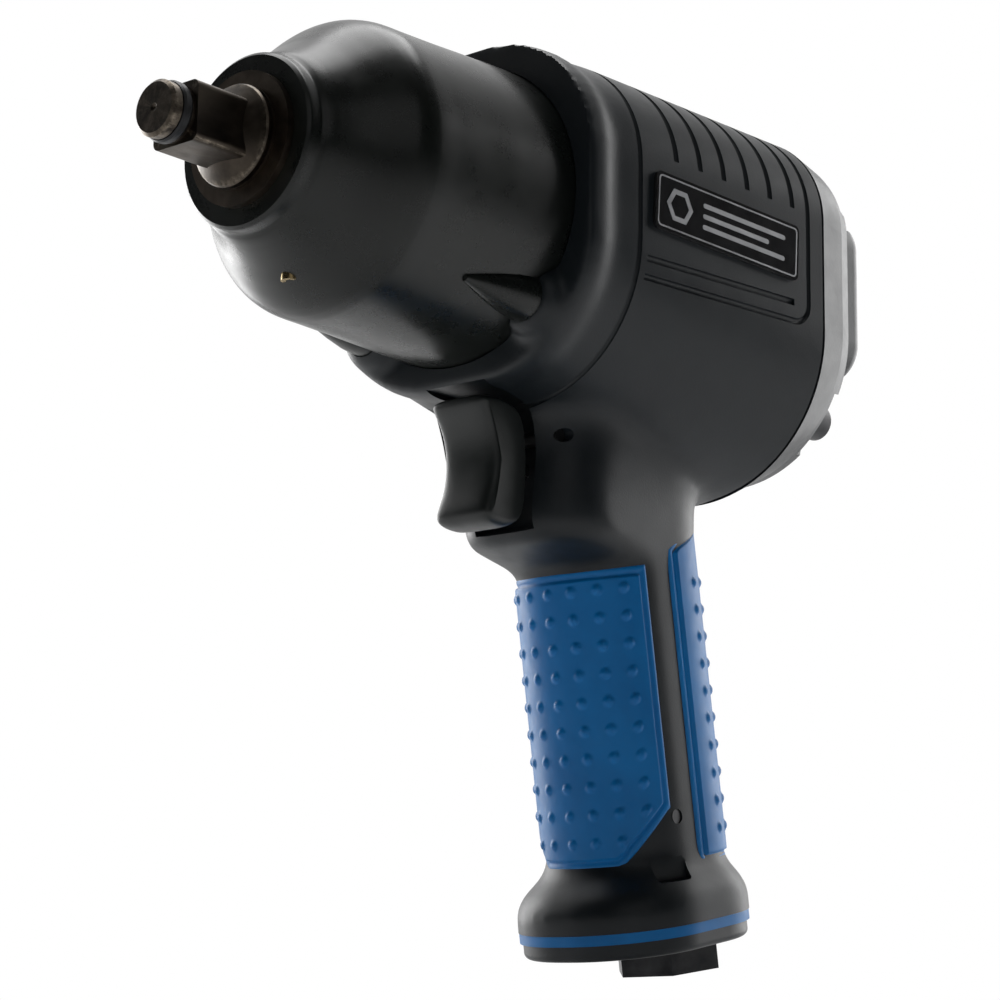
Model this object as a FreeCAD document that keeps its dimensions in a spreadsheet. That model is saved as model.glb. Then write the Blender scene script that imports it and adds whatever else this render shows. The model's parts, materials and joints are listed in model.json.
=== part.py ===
import FreeCAD, Part
import math
import os
import Sketcher

# Air impact wrench with a half-inch square drive.
# The barrel runs along X: the anvil's tip is at x = 0 and the rear cover points to +X.
# +Z is up, the handle hangs down and leans back, and the tool's left side faces -Y.

V = FreeCAD.Vector
MIN_LENGTH = 1e-6
SEAT_CLEARANCE = 0.05

SIZES = {
    # anvil and its seals
    "nose_r": 5.9, "nose_length": 2.4, "nose_chamfer": 0.7, "groove_r": 4.5, "groove_end": 5.0,
    "drive_square": 12.7, "drive_start": 6.2, "drive_end": 18.0, "drive_chamfer": 1.6,
    "cone_end": 20.4, "shaft_r": 10.8, "shaft_step": 0.9, "shaft_step_start": 20.9, "shaft_step_end": 22.0,
    "flange_start": 51.6, "flange_end": 54.6, "flange_r": 15.5, "anvil_core_r": 9.5, "jaw_start": 60.8,
    "jaw_end": 84.6, "jaw_reach": 12.6, "jaw_width": 8.0,
    "ring_r": 6.35, "ring_wire": 1.1, "dimple_r": 0.9,
    # running fit, loose gap
    "fit": 0.04, "gap": 0.3,
    # bushing and hammer case
    "bushing_face": 22.8, "bushing_end": 50.4, "bushing_r": 14.2, "washer": 0.9,
    "collar_face": 24.4, "collar_end": 28.0, "collar_r": 18.6, "neck_x": 36.5, "neck_r": 23.8,
    "shoulder_x": 48.0, "shoulder_r": 32.5, "neck_curve": 16.0, "shoulder_curve": 11.5,
    "case_r": 34.1, "case_end": 97.0, "case_cavity_r": 28.4, "case_cavity_start": 54.9,
    "spigot_start": 89.8, "flange_wide": 31.5, "flange_corner": 17.0,
    "ear_r": 5.4, "ear_start": 81.0, "bolt_offset": 23.4, "grease_x": 38.6, "grease_r": 2.0,
    "grease_head": 26.4, "grease_length": 8.0,
    # hammers and their cage
    "cage_start": 55.6, "cage_end": 90.4, "cage_plate": 4.6, "cage_r": 27.2, "cage_window_r": 16.6,
    "cage_web": 13.0, "pin_r": 3.0, "pin_circle": 20.4, "hammer_r": 24.2, "hammer_hole_r": 14.9,
    "hammer_length": 11.2, "hammer_lug": 6.0, "hammer_lug_reach": 3.5, "hammer_slot": 5.5,
    # motor
    "front_plate_start": 97.4, "plate_thick": 7.0, "plate_r": 28.0, "cylinder_start": 104.5,
    "cylinder_end": 145.0, "cylinder_bore_r": 24.4, "cylinder_offset": 2.2, "rotor_r": 21.6,
    "rotor_shaft_r": 6.0, "spline_r": 7.6, "spline_start": 86.2, "rotor_tail": 153.0, "vane_count": 6,
    "vane_thick": 2.4, "vane_depth": 9.0, "bearing_r": 13.0, "bearing_width": 6.0, "race_r": 8.1,
    "outer_race_r": 10.9, "ball_r": 1.25, "ball_count": 10,
    # motor housing
    "collar_start": 89.0, "parting_x": 104.0, "seam_x": 165.0, "motor_bore_r": 28.2,
    "front_half": 37.2, "front_top": 36.8, "front_bottom": 37.0, "front_corner": 28.5,
    "mid_half": 39.6, "mid_top": 37.0, "mid_bottom": 41.0, "mid_corner": 28.0, "mid_low_corner": 33.0,
    "rear_half": 46.5, "rear_top": 33.5, "rear_bottom": 54.0, "rear_corner": 24.0, "rear_low_corner": 37.0,
    "groove_width": 1.1, "groove_depth": 0.9, "lobe_r": 9.0, "lobe_start": 88.0,
    "slot_count": 6, "slot_pitch": 7.7, "slot_first": 115.3, "slot_width": 1.7, "slot_low": 10.9,
    "slot_depth": 1.6,
    "panel_start": 108.0, "panel_end": 155.0, "panel_width": 2.6, "panel_high": 12.5, "panel_low": 16.9,
    "panel_depth": 0.8,
    # handle, measured down its own axis; front and back are distances from that axis
    "handle_x": 130.5, "rake": 10.0, "root_down": 20.0, "root_front": 33.0, "root_back": 31.0,
    "handle_half": 19.0,
    "neck_down": 44.0, "neck_front": 32.4, "neck_back": 23.5, "shelf_down": 62.0, "shelf_front": 36.4,
    "shelf_back": 22.2, "throat_down": 67.2, "throat_front": 31.6, "grip_top": 72.4, "grip_bottom": 140.6,
    "core_front": 19.6, "core_half": 16.4, "core_corner": 15.5, "strip_half": 17.9, "handle_corner": 16.0,
    "grip_front": 22.2, "grip_half": 19.0, "grip_corner": 18.5, "front_grip_edge": 8.0,
    "rear_grip_edge": 0.5,
    "base_top": 148.0, "base_front": 30.4, "base_back": 25.0, "base_half": 23.2, "base_corner": 21.5,
    "base_end": 153.3, "ring_thick": 2.4, "cap_thick": 3.6, "foot_round": 1.4,
    "port_count": 3, "port_reach": 26.0, "port_pitch": 4.0, "port_half": 9.0, "port_width": 2.0,
    "chamber_top": 144.8, "chamber_front": 25.0, "chamber_back": 19.8, "chamber_half": 18.0,
    "chamber_corner": 14.0, "stem_wall_r": 10.9,
    # trigger and throttle
    "throttle_z": 54.0, "trigger_front": 89.6, "trigger_back": 105.0, "trigger_half": 8.0,
    "pin_slot_start": 101.0, "pin_slot_half": 2.2,
    "trigger_top": 40.4, "trigger_bottom": 68.4, "trigger_round": 2.6, "trigger_heel": 9.5,
    "recess_back": 112.4, "recess_heel": 9.0,
    "recess_gap": 0.5, "rod_r": 2.5, "rod_end": 125.9, "guide_start": 112.6, "guide_end": 120.0,
    "valve_bore_r": 7.0, "valve_r": 5.4, "valve_start": 126.2, "valve_end": 130.0, "valve_stem_r": 2.0,
    "valve_stem_end": 137.0, "seat_start": 122.0, "seat_end": 125.8, "seat_hole_r": 3.8, "bore_end": 146.0,
    "spring_r": 3.6, "spring_wire_r": 0.5, "spring_turns": 5,
    "trigger_pin_x": 110.4, "trigger_pin_z": 47.5, "trigger_pin_r": 1.5, "trigger_pin_half": 13.0,
    # air path
    "inlet_x": 8.3, "inlet_r": 5.2, "inlet_top": 54.0, "inlet_shank_r": 8.4, "inlet_shank_top": 139.8,
    "hex_flats": 22.2, "hex_turn": 41.0, "hex_start": 159.4, "hex_end": 166.4,
    "seal_r": 9.4, "seal_top": 146.8,
    "thread_r": 5.72, "thread_length": 12.0, "inlet_hole_r": 4.0, "exhaust_y": 11.2, "exhaust_r": 2.6,
    "exhaust_top": 24.0, "handle_pin_x": 6.2, "handle_pin_down": 130.0, "handle_pin_r": 1.6,
    # rear cover and reverse valve
    "cover_end": 183.4, "cover_half": 45.2, "cover_top": 32.0, "cover_bottom": 49.0, "cover_corner": 23.0,
    "cover_low_corner": 34.0, "cover_round": 8.0, "cover_pad_end": 188.0, "pad_round": 4.0,
    "pad_half": 43.0, "pad_top": 16.5,
    "pad_bottom": 24.5, "pad_corner": 9.0, "gasket": 0.8, "cover_bolt_y": 33.0, "cover_bolt_top": 17.5,
    "cover_bolt_low": 34.0,
    "bolt_r": 2.5, "bolt_head_r": 4.3, "bolt_head": 5.0, "reverse_z": 34.5, "reverse_r": 5.0,
    "reverse_sleeve_r": 7.4, "reverse_floor": 168.0, "knob_r": 11.0, "dish_floor": 181.6,
    "knob_start": 181.9, "knob_end": 188.0, "knob_face": 185.4, "knob_bar": 7.0, "knob_screw_r": 1.5,
    "knob_screw_head_r": 2.6, "knob_screw_head": 2.0, "knob_screw_length": 5.0, "port_r": 1.8,
    "notch_r": 8.6, "notch_floor": 177.0, "notch_out": 3.4, "detent_out": 9.0, "detent_floor": 174.0,
    "ball_seat_r": 1.5,
    # badge
    "badge_start": 108.6, "badge_end": 156.0, "badge_height": 13.2, "badge_thick": 0.8, "badge_z": 1.4,
    "badge_tilt": 3.0,
}

doc = FreeCAD.newDocument("impact_wrench")
sheet = doc.addObject("Spreadsheet::Sheet", "dim")
for row, (word, number) in enumerate(SIZES.items(), start=1):
    sheet.set(f"A{row}", word)
    sheet.set(f"B{row}", str(number))
    sheet.setAlias(f"B{row}", word)
doc.recompute()

pieces = []


def size(expression):
    """The value of an expression of sheet cells, in millimetres or degrees."""
    return float(sheet.evalExpression(str(expression)))


def bind(thing, **expressions):
    """Tie properties to expressions; a double underscore in a name stands for a dot."""
    for name, expression in expressions.items():
        thing.setExpression(name.replace("__", "."), str(expression))


def new_body(label):
    body = doc.addObject("PartDesign::Body", label)
    body.Label = label
    pieces.append(body)
    return body


def keep(thing, label):
    """Name a primitive or boolean as a finished piece."""
    thing.Label = label
    pieces.append(thing)
    return thing


def hang_on_handle(thing):
    """Place a piece that is drawn in the handle's own frame, with its axis as Z."""
    thing.Placement = FreeCAD.Placement(V(size("dim.handle_x"), 0, 0),
                                        FreeCAD.Rotation(V(0, 1, 0), -size("dim.rake")))


def new_sketch(body, role, away="0"):
    """A sketch on one of the body's origin planes, moved along the plane's normal."""
    sketch = body.newObject("Sketcher::SketchObject", "sketch")
    plane = next(item for item in body.Origin.OriginFeatures if item.Role == role)
    sketch.AttachmentSupport = [(plane, "")]
    sketch.MapMode = "FlatFace"
    bind(sketch, AttachmentOffset__Base__z=away)
    return sketch


def across_barrel(body, x):
    """A sketch square to the barrel; its own axes are Y and Z."""
    return new_sketch(body, "YZ_Plane", x)


def across_handle(body, down):
    """A sketch square to the handle's axis in the housing's own body."""
    sketch = new_sketch(body, "XY_Plane")
    sketch.AttachmentOffset = FreeCAD.Placement(V(0, 0, 0), FreeCAD.Rotation(V(0, 1, 0), -size("dim.rake")))
    bind(sketch, AttachmentOffset__Base__x=f"dim.handle_x + ({down}) * sin(dim.rake * 1 deg)",
         AttachmentOffset__Base__z=f"-({down}) * cos(dim.rake * 1 deg)")
    return sketch


def outline(sketch, corners):
    """Close a line through corners (x, y); a third value bows the edge to that corner.

    The third value is a radius: positive bows to the left of the way along the edge,
    negative to the right. Every corner and radius is tied to its expression."""
    points = [V(size(corner[0]), size(corner[1]), 0) for corner in corners]
    ends = []
    for index, corner in enumerate(corners):
        start, end = points[index - 1], points[index]
        if len(corner) == 3:
            radius = size(corner[2])
            chord = end - start
            half = chord.Length / 2
            rise = abs(radius) - math.sqrt(max(radius * radius - half * half, 0))
            normal = V(-chord.y, chord.x, 0).normalize() * math.copysign(rise, radius)
            middle = (start + end) / 2 + normal
            if radius < 0:
                edge = sketch.addGeometry(Part.Arc(start, middle, end))
                ends.append((edge, 1, 2, abs(radius), corner[2]))
            else:
                edge = sketch.addGeometry(Part.Arc(end, middle, start))
                ends.append((edge, 2, 1, abs(radius), corner[2]))
        else:
            edge = sketch.addGeometry(Part.LineSegment(start, end))
            ends.append((edge, 1, 2, None, None))
    for index, (edge, first, last, radius, expression) in enumerate(ends):
        following = ends[(index + 1) % len(ends)]
        sketch.addConstraint(Sketcher.Constraint("Coincident", edge, last, following[0], following[1]))
        for kind, axis in (("DistanceX", 0), ("DistanceY", 1)):
            place = points[index][axis]
            number = sketch.addConstraint(Sketcher.Constraint(kind, -1, 1, edge, last, place))
            sketch.setExpression(f"Constraints[{number}]", str(corners[index][axis]))
        if radius:
            number = sketch.addConstraint(Sketcher.Constraint("Radius", edge, radius))
            sketch.setExpression(f"Constraints[{number}]", f"abs({expression})")
    return sketch


def round_box(sketch, left, right, low, high, low_corner, high_corner=None):
    """A rectangle with rounded corners, larger or smaller at the top than at the bottom."""
    top = high_corner or low_corner
    return outline(sketch, [
        (f"({left}) + ({low_corner})", low, f"-({low_corner})"), (f"({right}) - ({low_corner})", low),
        (right, f"({low}) + ({low_corner})", f"-({low_corner})"), (right, f"({high}) - ({top})"),
        (f"({right}) - ({top})", high, f"-({top})"), (f"({left}) + ({top})", high),
        (left, f"({high}) - ({top})", f"-({top})"), (left, f"({low}) + ({low_corner})")])


def circle(sketch, across, along, radius):
    shape = Part.Circle(V(size(across), size(along), 0), V(0, 0, 1), size(radius))
    edge = sketch.addGeometry(shape)
    for kind, axis, expression in (("DistanceX", 0, across), ("DistanceY", 1, along)):
        number = sketch.addConstraint(Sketcher.Constraint(kind, -1, 1, edge, 3, shape.Center[axis]))
        sketch.setExpression(f"Constraints[{number}]", str(expression))
    number = sketch.addConstraint(Sketcher.Constraint("Radius", edge, shape.Radius))
    sketch.setExpression(f"Constraints[{number}]", str(radius))
    return sketch


def feature(body, kind, sketch, **settings):
    made = body.newObject(f"PartDesign::{kind}", kind.lower())
    made.Profile = sketch
    for name, value in settings.items():
        setattr(made, name, value)
    return made


def turn(body, corners, role="XZ_Plane", cut=False):
    """Spin an outline of (along, radius) corners round the barrel, or cut it away."""
    sketch = outline(new_sketch(body, role), corners)
    kind = "Groove" if cut else "Revolution"
    return feature(body, kind, sketch, ReferenceAxis=(sketch, ["H_Axis"]), Angle=360.0)


def pad(body, sketch, length, back=False):
    made = feature(body, "Pad", sketch, Reversed=back)
    bind(made, Length=length)
    return made


def pocket(body, sketch, length, back=False):
    """Cut away from the sketch, against its normal, or along it when back is true."""
    made = feature(body, "Pocket", sketch, Reversed=back)
    bind(made, Length=length)
    return made


def loft(body, sketches):
    return feature(body, "AdditiveLoft", sketches[0], Sections=sketches[1:], Ruled=True)


def ring_piece(label, start, end, inner, outer):
    """A plain turned ring on the barrel's axis, or a disc where the inner radius is 0."""
    body = new_body(label)
    turn(body, [(start, inner), (end, inner), (end, outer), (start, outer)])
    return body


def cylinder(radius, length, place, direction, name="cylinder"):
    made = doc.addObject("Part::Cylinder", name)
    bind(made, Radius=radius, Height=length)
    spot = V(size(place[0]), size(place[1]), size(place[2]))
    made.Placement = FreeCAD.Placement(spot, FreeCAD.Rotation(V(0, 0, 1), V(*direction)))
    bind(made, Placement__Base__x=place[0], Placement__Base__y=place[1], Placement__Base__z=place[2])
    return made


def cut(base, tool, name="cut"):
    made = doc.addObject("Part::Cut", name)
    made.Base = base
    made.Tool = tool
    return made


def fuse(parts, name="fuse"):
    made = doc.addObject("Part::MultiFuse", name)
    made.Shapes = parts
    return made


def group(parts, label):
    """Several equal solids in one node."""
    made = doc.addObject("Part::Compound", label)
    made.Links = parts
    return keep(made, label)


def corner_signs():
    return [(across, up) for across in (-1, 1) for up in (-1, 1)]


def section_at(body, x, prefix):
    """The housing's outline across the barrel at one of its named stations."""
    low = "front_corner" if prefix == "front" else f"{prefix}_low_corner"
    return round_box(across_barrel(body, x), f"-dim.{prefix}_half", f"dim.{prefix}_half",
                     f"-dim.{prefix}_bottom",
                     f"dim.{prefix}_top", f"dim.{low}", f"dim.{prefix}_corner")


# ---- anvil group

def make_anvil():
    body = new_body("anvil")
    turn(body, [
        ("0", "0"), ("0", "dim.nose_r - dim.nose_chamfer"), ("dim.nose_chamfer", "dim.nose_r"),
        ("dim.nose_length", "dim.nose_r"), ("dim.nose_length", "dim.groove_r"),
        ("dim.groove_end", "dim.groove_r"), ("dim.groove_end", "dim.nose_r"),
        ("dim.drive_start", "dim.nose_r"),
        ("dim.drive_start", "0")])
    square = round_box(across_barrel(body, "dim.drive_start - 0.4"), "-dim.drive_square / 2",
                       "dim.drive_square / 2",
                       "-dim.drive_square / 2", "dim.drive_square / 2", "dim.drive_chamfer")
    pad(body, square, "dim.cone_end - dim.drive_start")
    turn(body, [
        ("dim.drive_end", "0"), ("dim.drive_end", "dim.drive_square / 2"),
        ("dim.cone_end", "dim.shaft_r - 0.3"),
        ("dim.shaft_step_start", "dim.shaft_r"),
        ("dim.shaft_step_start", "dim.shaft_r - dim.shaft_step"),
        ("dim.shaft_step_end", "dim.shaft_r - dim.shaft_step"),
        ("dim.shaft_step_end", "dim.shaft_r"), ("dim.flange_start", "dim.shaft_r"),
        ("dim.flange_start", "dim.flange_r"), ("dim.flange_end", "dim.flange_r"),
        ("dim.flange_end", "dim.anvil_core_r"), ("dim.jaw_end", "dim.anvil_core_r"),
        ("dim.jaw_end", "0")])
    jaw = round_box(across_barrel(body, "dim.jaw_start"), "-dim.jaw_width / 2", "dim.jaw_width / 2",
                    "0", "dim.jaw_reach", "2.0")
    pad(body, jaw, "dim.jaw_end - dim.jaw_start")
    turn(body, [("-0.1", "0"), ("0.45", "0"), ("0", "dim.dimple_r"), ("-0.1", "dim.dimple_r")], cut=True)
    return body


def make_drive_rings():
    ring = new_body("retaining_ring")
    turn(ring, [("dim.nose_length + 0.2", "dim.groove_r + dim.ring_wire"),
                ("dim.groove_end - 0.2", "dim.groove_r + dim.ring_wire"),
                ("dim.groove_end - 0.2", "dim.ring_r - 0.3"), ("dim.groove_end - 0.7", "dim.ring_r"),
                ("dim.nose_length + 0.7", "dim.ring_r"), ("dim.nose_length + 0.2", "dim.ring_r - 0.3")])
    split = new_sketch(ring, "XZ_Plane", "0.5")
    round_box(split, "0", "dim.groove_end + 1", "3", "dim.ring_r + 2", "0.2")
    pocket(ring, split, "1.0")
    ring_piece("anvil_o_ring", "dim.nose_length + 0.3", "dim.groove_end - 0.3", "dim.groove_r + 0.05",
               "dim.groove_r + dim.ring_wire - 0.05")


def make_case():
    """Hammer case: nose collar, concave neck, bell shoulder, long cup and rear flange."""
    body = new_body("hammer_case")
    turn(body, [
        ("dim.collar_face", "dim.bushing_r + dim.fit / 2"), ("dim.collar_face", "dim.collar_r - 0.7"),
        ("dim.collar_face + 0.7", "dim.collar_r"),
        ("dim.collar_end", "dim.collar_r"), ("dim.neck_x", "dim.neck_r", "dim.neck_curve * -1"),
        ("dim.shoulder_x", "dim.shoulder_r", "dim.shoulder_curve"), ("dim.spigot_start", "dim.case_r"),
        ("dim.spigot_start", "dim.case_r - 0.6"), ("dim.case_end", "dim.case_r - 0.6"),
        ("dim.case_end", "dim.case_cavity_r"), ("dim.case_cavity_start", "dim.case_cavity_r"),
        ("dim.case_cavity_start", "dim.flange_r + 0.7"), ("dim.bushing_end", "dim.flange_r + 0.7"),
        ("dim.bushing_end", "dim.bushing_r + dim.fit / 2")])
    flange = round_box(across_barrel(body, "dim.spigot_start"), "-dim.flange_wide", "dim.flange_wide",
                       "-dim.flange_wide", "dim.flange_wide", "dim.flange_corner")
    circle(flange, "0", "0", "dim.case_cavity_r + 1")
    pad(body, flange, "dim.case_end - dim.spigot_start")
    for side in (-1, 1):
        ear = across_barrel(body, "dim.ear_start")
        circle(ear, f"{side} * dim.bolt_offset", "-dim.bolt_offset", "dim.ear_r")
        pad(body, ear, "dim.case_end - dim.ear_start")
    turn(body, [("dim.case_cavity_start", "0"), ("dim.case_end + 1", "0"),
                ("dim.case_end + 1", "dim.case_cavity_r"),
                ("dim.case_cavity_start", "dim.case_cavity_r")], cut=True)
    for across, up in corner_signs():
        hole = circle(across_barrel(body, "dim.case_end"), f"{across} * dim.bolt_offset",
                      f"{up} * dim.bolt_offset",
                      "dim.bolt_r + 0.05")
        pocket(body, hole, "dim.case_end - dim.spigot_start + 0.2")
    seat = new_sketch(body, "XY_Plane", "-dim.shoulder_r - 1")
    circle(seat, "dim.grease_x", "0", "dim.grease_r + 0.05")
    pocket(body, seat, "18", back=True)
    return body


def make_front_parts():
    ring_piece("anvil_bushing", "dim.bushing_face", "dim.bushing_end", "dim.shaft_r + dim.fit",
               "dim.bushing_r")
    ring_piece("thrust_washer", "dim.bushing_end + 0.1", "dim.bushing_end + 0.1 + dim.washer",
               "dim.shaft_r + dim.gap", "dim.flange_r")
    screw = cylinder("dim.grease_r", "dim.grease_length", ("dim.grease_x", "0", "-dim.grease_head"),
                     (0, 0, 1))
    socket = cylinder("dim.grease_r / 2", "2.2", ("dim.grease_x", "0", "-dim.grease_head - 0.4"), (0, 0, 1))
    keep(cut(screw, socket), "grease_screw")


# ---- hammers

def make_cage():
    body = new_body("hammer_cage")
    turn(body, [("dim.cage_start", "dim.cage_window_r"),
                ("dim.cage_start + dim.cage_plate", "dim.cage_window_r"),
                ("dim.cage_start + dim.cage_plate", "dim.cage_r"), ("dim.cage_start", "dim.cage_r")])
    web = round_box(across_barrel(body, "dim.cage_start + dim.cage_plate - 0.5"), "dim.hammer_r + 1.55",
                    "dim.cage_r + 2", "-dim.cage_web / 2", "dim.cage_web / 2", "0.3")
    pad(body, web, "dim.cage_end - dim.cage_start - 2 * dim.cage_plate + 1")
    other = round_box(across_barrel(body, "dim.cage_start + dim.cage_plate - 0.5"), "-dim.cage_r - 2",
                      "-dim.hammer_r - 1.55", "-dim.cage_web / 2", "dim.cage_web / 2", "0.3")
    pad(body, other, "dim.cage_end - dim.cage_start - 2 * dim.cage_plate + 1")
    turn(body, [("dim.cage_end - dim.cage_plate", "dim.spline_r + 0.1"),
                ("dim.cage_end", "dim.spline_r + 0.1"),
                ("dim.cage_end", "dim.cage_r"), ("dim.cage_end - dim.cage_plate", "dim.cage_r")])
    turn(body, [("dim.cage_start - 1", "dim.cage_r"), ("dim.cage_end + 1", "dim.cage_r"),
                ("dim.cage_end + 1", "dim.cage_r + 5"), ("dim.cage_start - 1", "dim.cage_r + 5")], cut=True)
    for up in (-1, 1):
        hole = circle(across_barrel(body, "dim.cage_end + 1"), "0", f"{up} * dim.pin_circle",
                      "dim.pin_r + 0.01")
        pocket(body, hole, "dim.cage_end - dim.cage_start + 2")
    return body


def make_hammer(label, start, up):
    """One ring-shaped hammer with a pivot hole on one side and a striking lug across from it."""
    body = new_body(label)
    ring = circle(across_barrel(body, start), "0", "0", "dim.hammer_r")
    circle(ring, "0", "0", "dim.hammer_hole_r")
    pad(body, ring, "dim.hammer_length")
    lug = round_box(across_barrel(body, start), "dim.hammer_hole_r - dim.hammer_lug_reach",
                    "dim.hammer_hole_r + 3",
                    "-dim.hammer_lug / 2", "dim.hammer_lug / 2", "1.2")
    pad(body, lug, "dim.hammer_length")
    hole = circle(across_barrel(body, f"{start} + dim.hammer_length"), "0", f"{up} * dim.pin_circle",
                  "dim.pin_r + dim.fit")
    pocket(body, hole, "dim.hammer_length")
    near, far = ("dim.hammer_hole_r + 2", "dim.hammer_r + 2")
    low, high = (f"-({far})", f"-({near})") if up == 1 else (near, far)
    slot = round_box(across_barrel(body, f"{start} + dim.hammer_length"), "-dim.hammer_slot",
                     "dim.hammer_slot",
                     low, high, "0.5")
    pocket(body, slot, "dim.hammer_length")
    return body


def make_hammers():
    make_cage()
    make_hammer("front_hammer", "dim.cage_start + dim.cage_plate + 0.4", 1)
    make_hammer("rear_hammer", "dim.cage_start + dim.cage_plate + 0.9 + dim.hammer_length", -1)
    pins = [cylinder("dim.pin_r", "dim.cage_end - dim.cage_start",
                     ("dim.cage_start", "0", f"{up} * dim.pin_circle"),
                     (1, 0, 0)) for up in (-1, 1)]
    group(pins, "hammer_pins")


# ---- air motor

def make_end_plate(label, start, pocket_at):
    body = ring_piece(label, start, f"{start} + dim.plate_thick", "dim.race_r + 0.6", "dim.plate_r")
    turn(body, [(pocket_at, "0"), (f"{pocket_at} + dim.bearing_width", "0"),
                (f"{pocket_at} + dim.bearing_width", "dim.bearing_r"), (pocket_at, "dim.bearing_r")],
                cut=True)


def make_bearing(place, start):
    end = f"{start} + dim.bearing_width"
    ring_piece(f"{place}_bearing_outer", start, end, "dim.outer_race_r", "dim.bearing_r")
    ring_piece(f"{place}_bearing_inner", start, end, "dim.rotor_shaft_r + 0.01", "dim.race_r")
    balls = []
    for index in range(int(SIZES["ball_count"])):
        ball = doc.addObject("Part::Sphere", "ball")
        bind(ball, Radius="dim.ball_r")
        angle = f"{index} * 360 / dim.ball_count * 1 deg"
        bind(ball, Placement__Base__x=f"{start} + dim.bearing_width / 2",
             Placement__Base__y=f"(dim.race_r + dim.outer_race_r) / 2 * cos({angle})",
             Placement__Base__z=f"(dim.race_r + dim.outer_race_r) / 2 * sin({angle})")
        balls.append(ball)
    group(balls, f"{place}_bearing_balls")


def make_cylinder():
    """Motor cylinder, its bore set off below the rotor so that the vanes pump, with two ports."""
    body = new_body("motor_cylinder")
    ring = circle(across_barrel(body, "dim.cylinder_start"), "0", "0", "dim.plate_r")
    circle(ring, "0", "-dim.cylinder_offset", "dim.cylinder_bore_r")
    pad(body, ring, "dim.cylinder_end - dim.cylinder_start")
    ports = new_sketch(body, "XY_Plane", "-dim.plate_r - 1")
    circle(ports, "dim.cylinder_start + 12", "-6", "2.2")
    circle(ports, "dim.cylinder_start + 12", "6", "2.2")
    pocket(body, ports, "8", back=True)
    return body


def make_rotor():
    body = new_body("rotor")
    turn(body, [
        ("dim.spline_start", "0"), ("dim.spline_start", "dim.spline_r"),
        ("dim.cage_end + 0.1", "dim.spline_r"),
        ("dim.cage_end + 0.1", "dim.rotor_shaft_r"), ("dim.cylinder_start + 0.3", "dim.rotor_shaft_r"),
        ("dim.cylinder_start + 0.3", "dim.rotor_r"), ("dim.cylinder_end - 0.3", "dim.rotor_r"),
        ("dim.cylinder_end - 0.3", "dim.rotor_shaft_r"), ("dim.rotor_tail", "dim.rotor_shaft_r"),
        ("dim.rotor_tail", "0")])
    slot = round_box(across_barrel(body, "dim.cylinder_end"), "-dim.vane_thick / 2 - dim.fit",
                     "dim.vane_thick / 2 + dim.fit", "dim.rotor_r - dim.vane_depth - 0.3",
                     "dim.rotor_r + 2", "0.2")
    first = pocket(body, slot, "dim.cylinder_end - dim.cylinder_start")
    axis = next(item for item in body.Origin.OriginFeatures if item.Role == "X_Axis")
    pattern = body.newObject("PartDesign::PolarPattern", "slots")
    pattern.Originals = [first]
    pattern.Axis = (axis, [""])
    pattern.Angle = 360.0
    pattern.Occurrences = int(SIZES["vane_count"])
    body.Tip = pattern
    return body


def make_vanes():
    vanes = []
    count = int(SIZES["vane_count"])
    for index in range(count):
        vane = doc.addObject("Part::Box", "vane")
        bind(vane, Length="dim.cylinder_end - dim.cylinder_start - 0.8", Width="dim.vane_thick",
             Height="dim.vane_depth")
        turned = FreeCAD.Rotation(V(1, 0, 0), 360 * index / count)
        corner = V(size("dim.cylinder_start + 0.4"), -size("dim.vane_thick / 2"),
                   size("dim.rotor_r - dim.vane_depth"))
        vane.Placement = FreeCAD.Placement(turned.multVec(corner), turned)
        vanes.append(vane)
    group(vanes, "vanes")


def make_motor():
    make_end_plate("front_end_plate", "dim.front_plate_start", "dim.front_plate_start")
    make_bearing("front", "dim.front_plate_start")
    make_cylinder()
    make_rotor()
    make_vanes()
    make_end_plate("rear_end_plate", "dim.cylinder_end + 0.1",
                   "dim.cylinder_end + 0.1 + dim.plate_thick - dim.bearing_width")
    make_bearing("rear", "dim.cylinder_end + 0.1 + dim.plate_thick - dim.bearing_width")


# ---- motor housing and handle

def handle_section(body, down, front, back, half="dim.handle_half", corner="dim.handle_corner"):
    """A rounded rectangle square to the handle, reaching front and back of its axis."""
    return round_box(across_handle(body, down), f"-({front})", back, f"-({half})", half, corner)


def half_section(sketch, tip, edge, half, corner):
    """Half of a handle section: rounded at its tip and cut straight across at its edge."""
    direction = "1" if size(tip) < size(edge) else "-1"
    inward = f"({tip}) + {direction} * ({corner})"
    bow = f"-{direction} * ({corner})"
    return outline(sketch, [(inward, f"-({half})", bow), (edge, f"-({half})"), (edge, half), (inward, half),
                            (tip, f"({half}) - ({corner})", bow), (tip, f"({corner}) - ({half})")])


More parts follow.
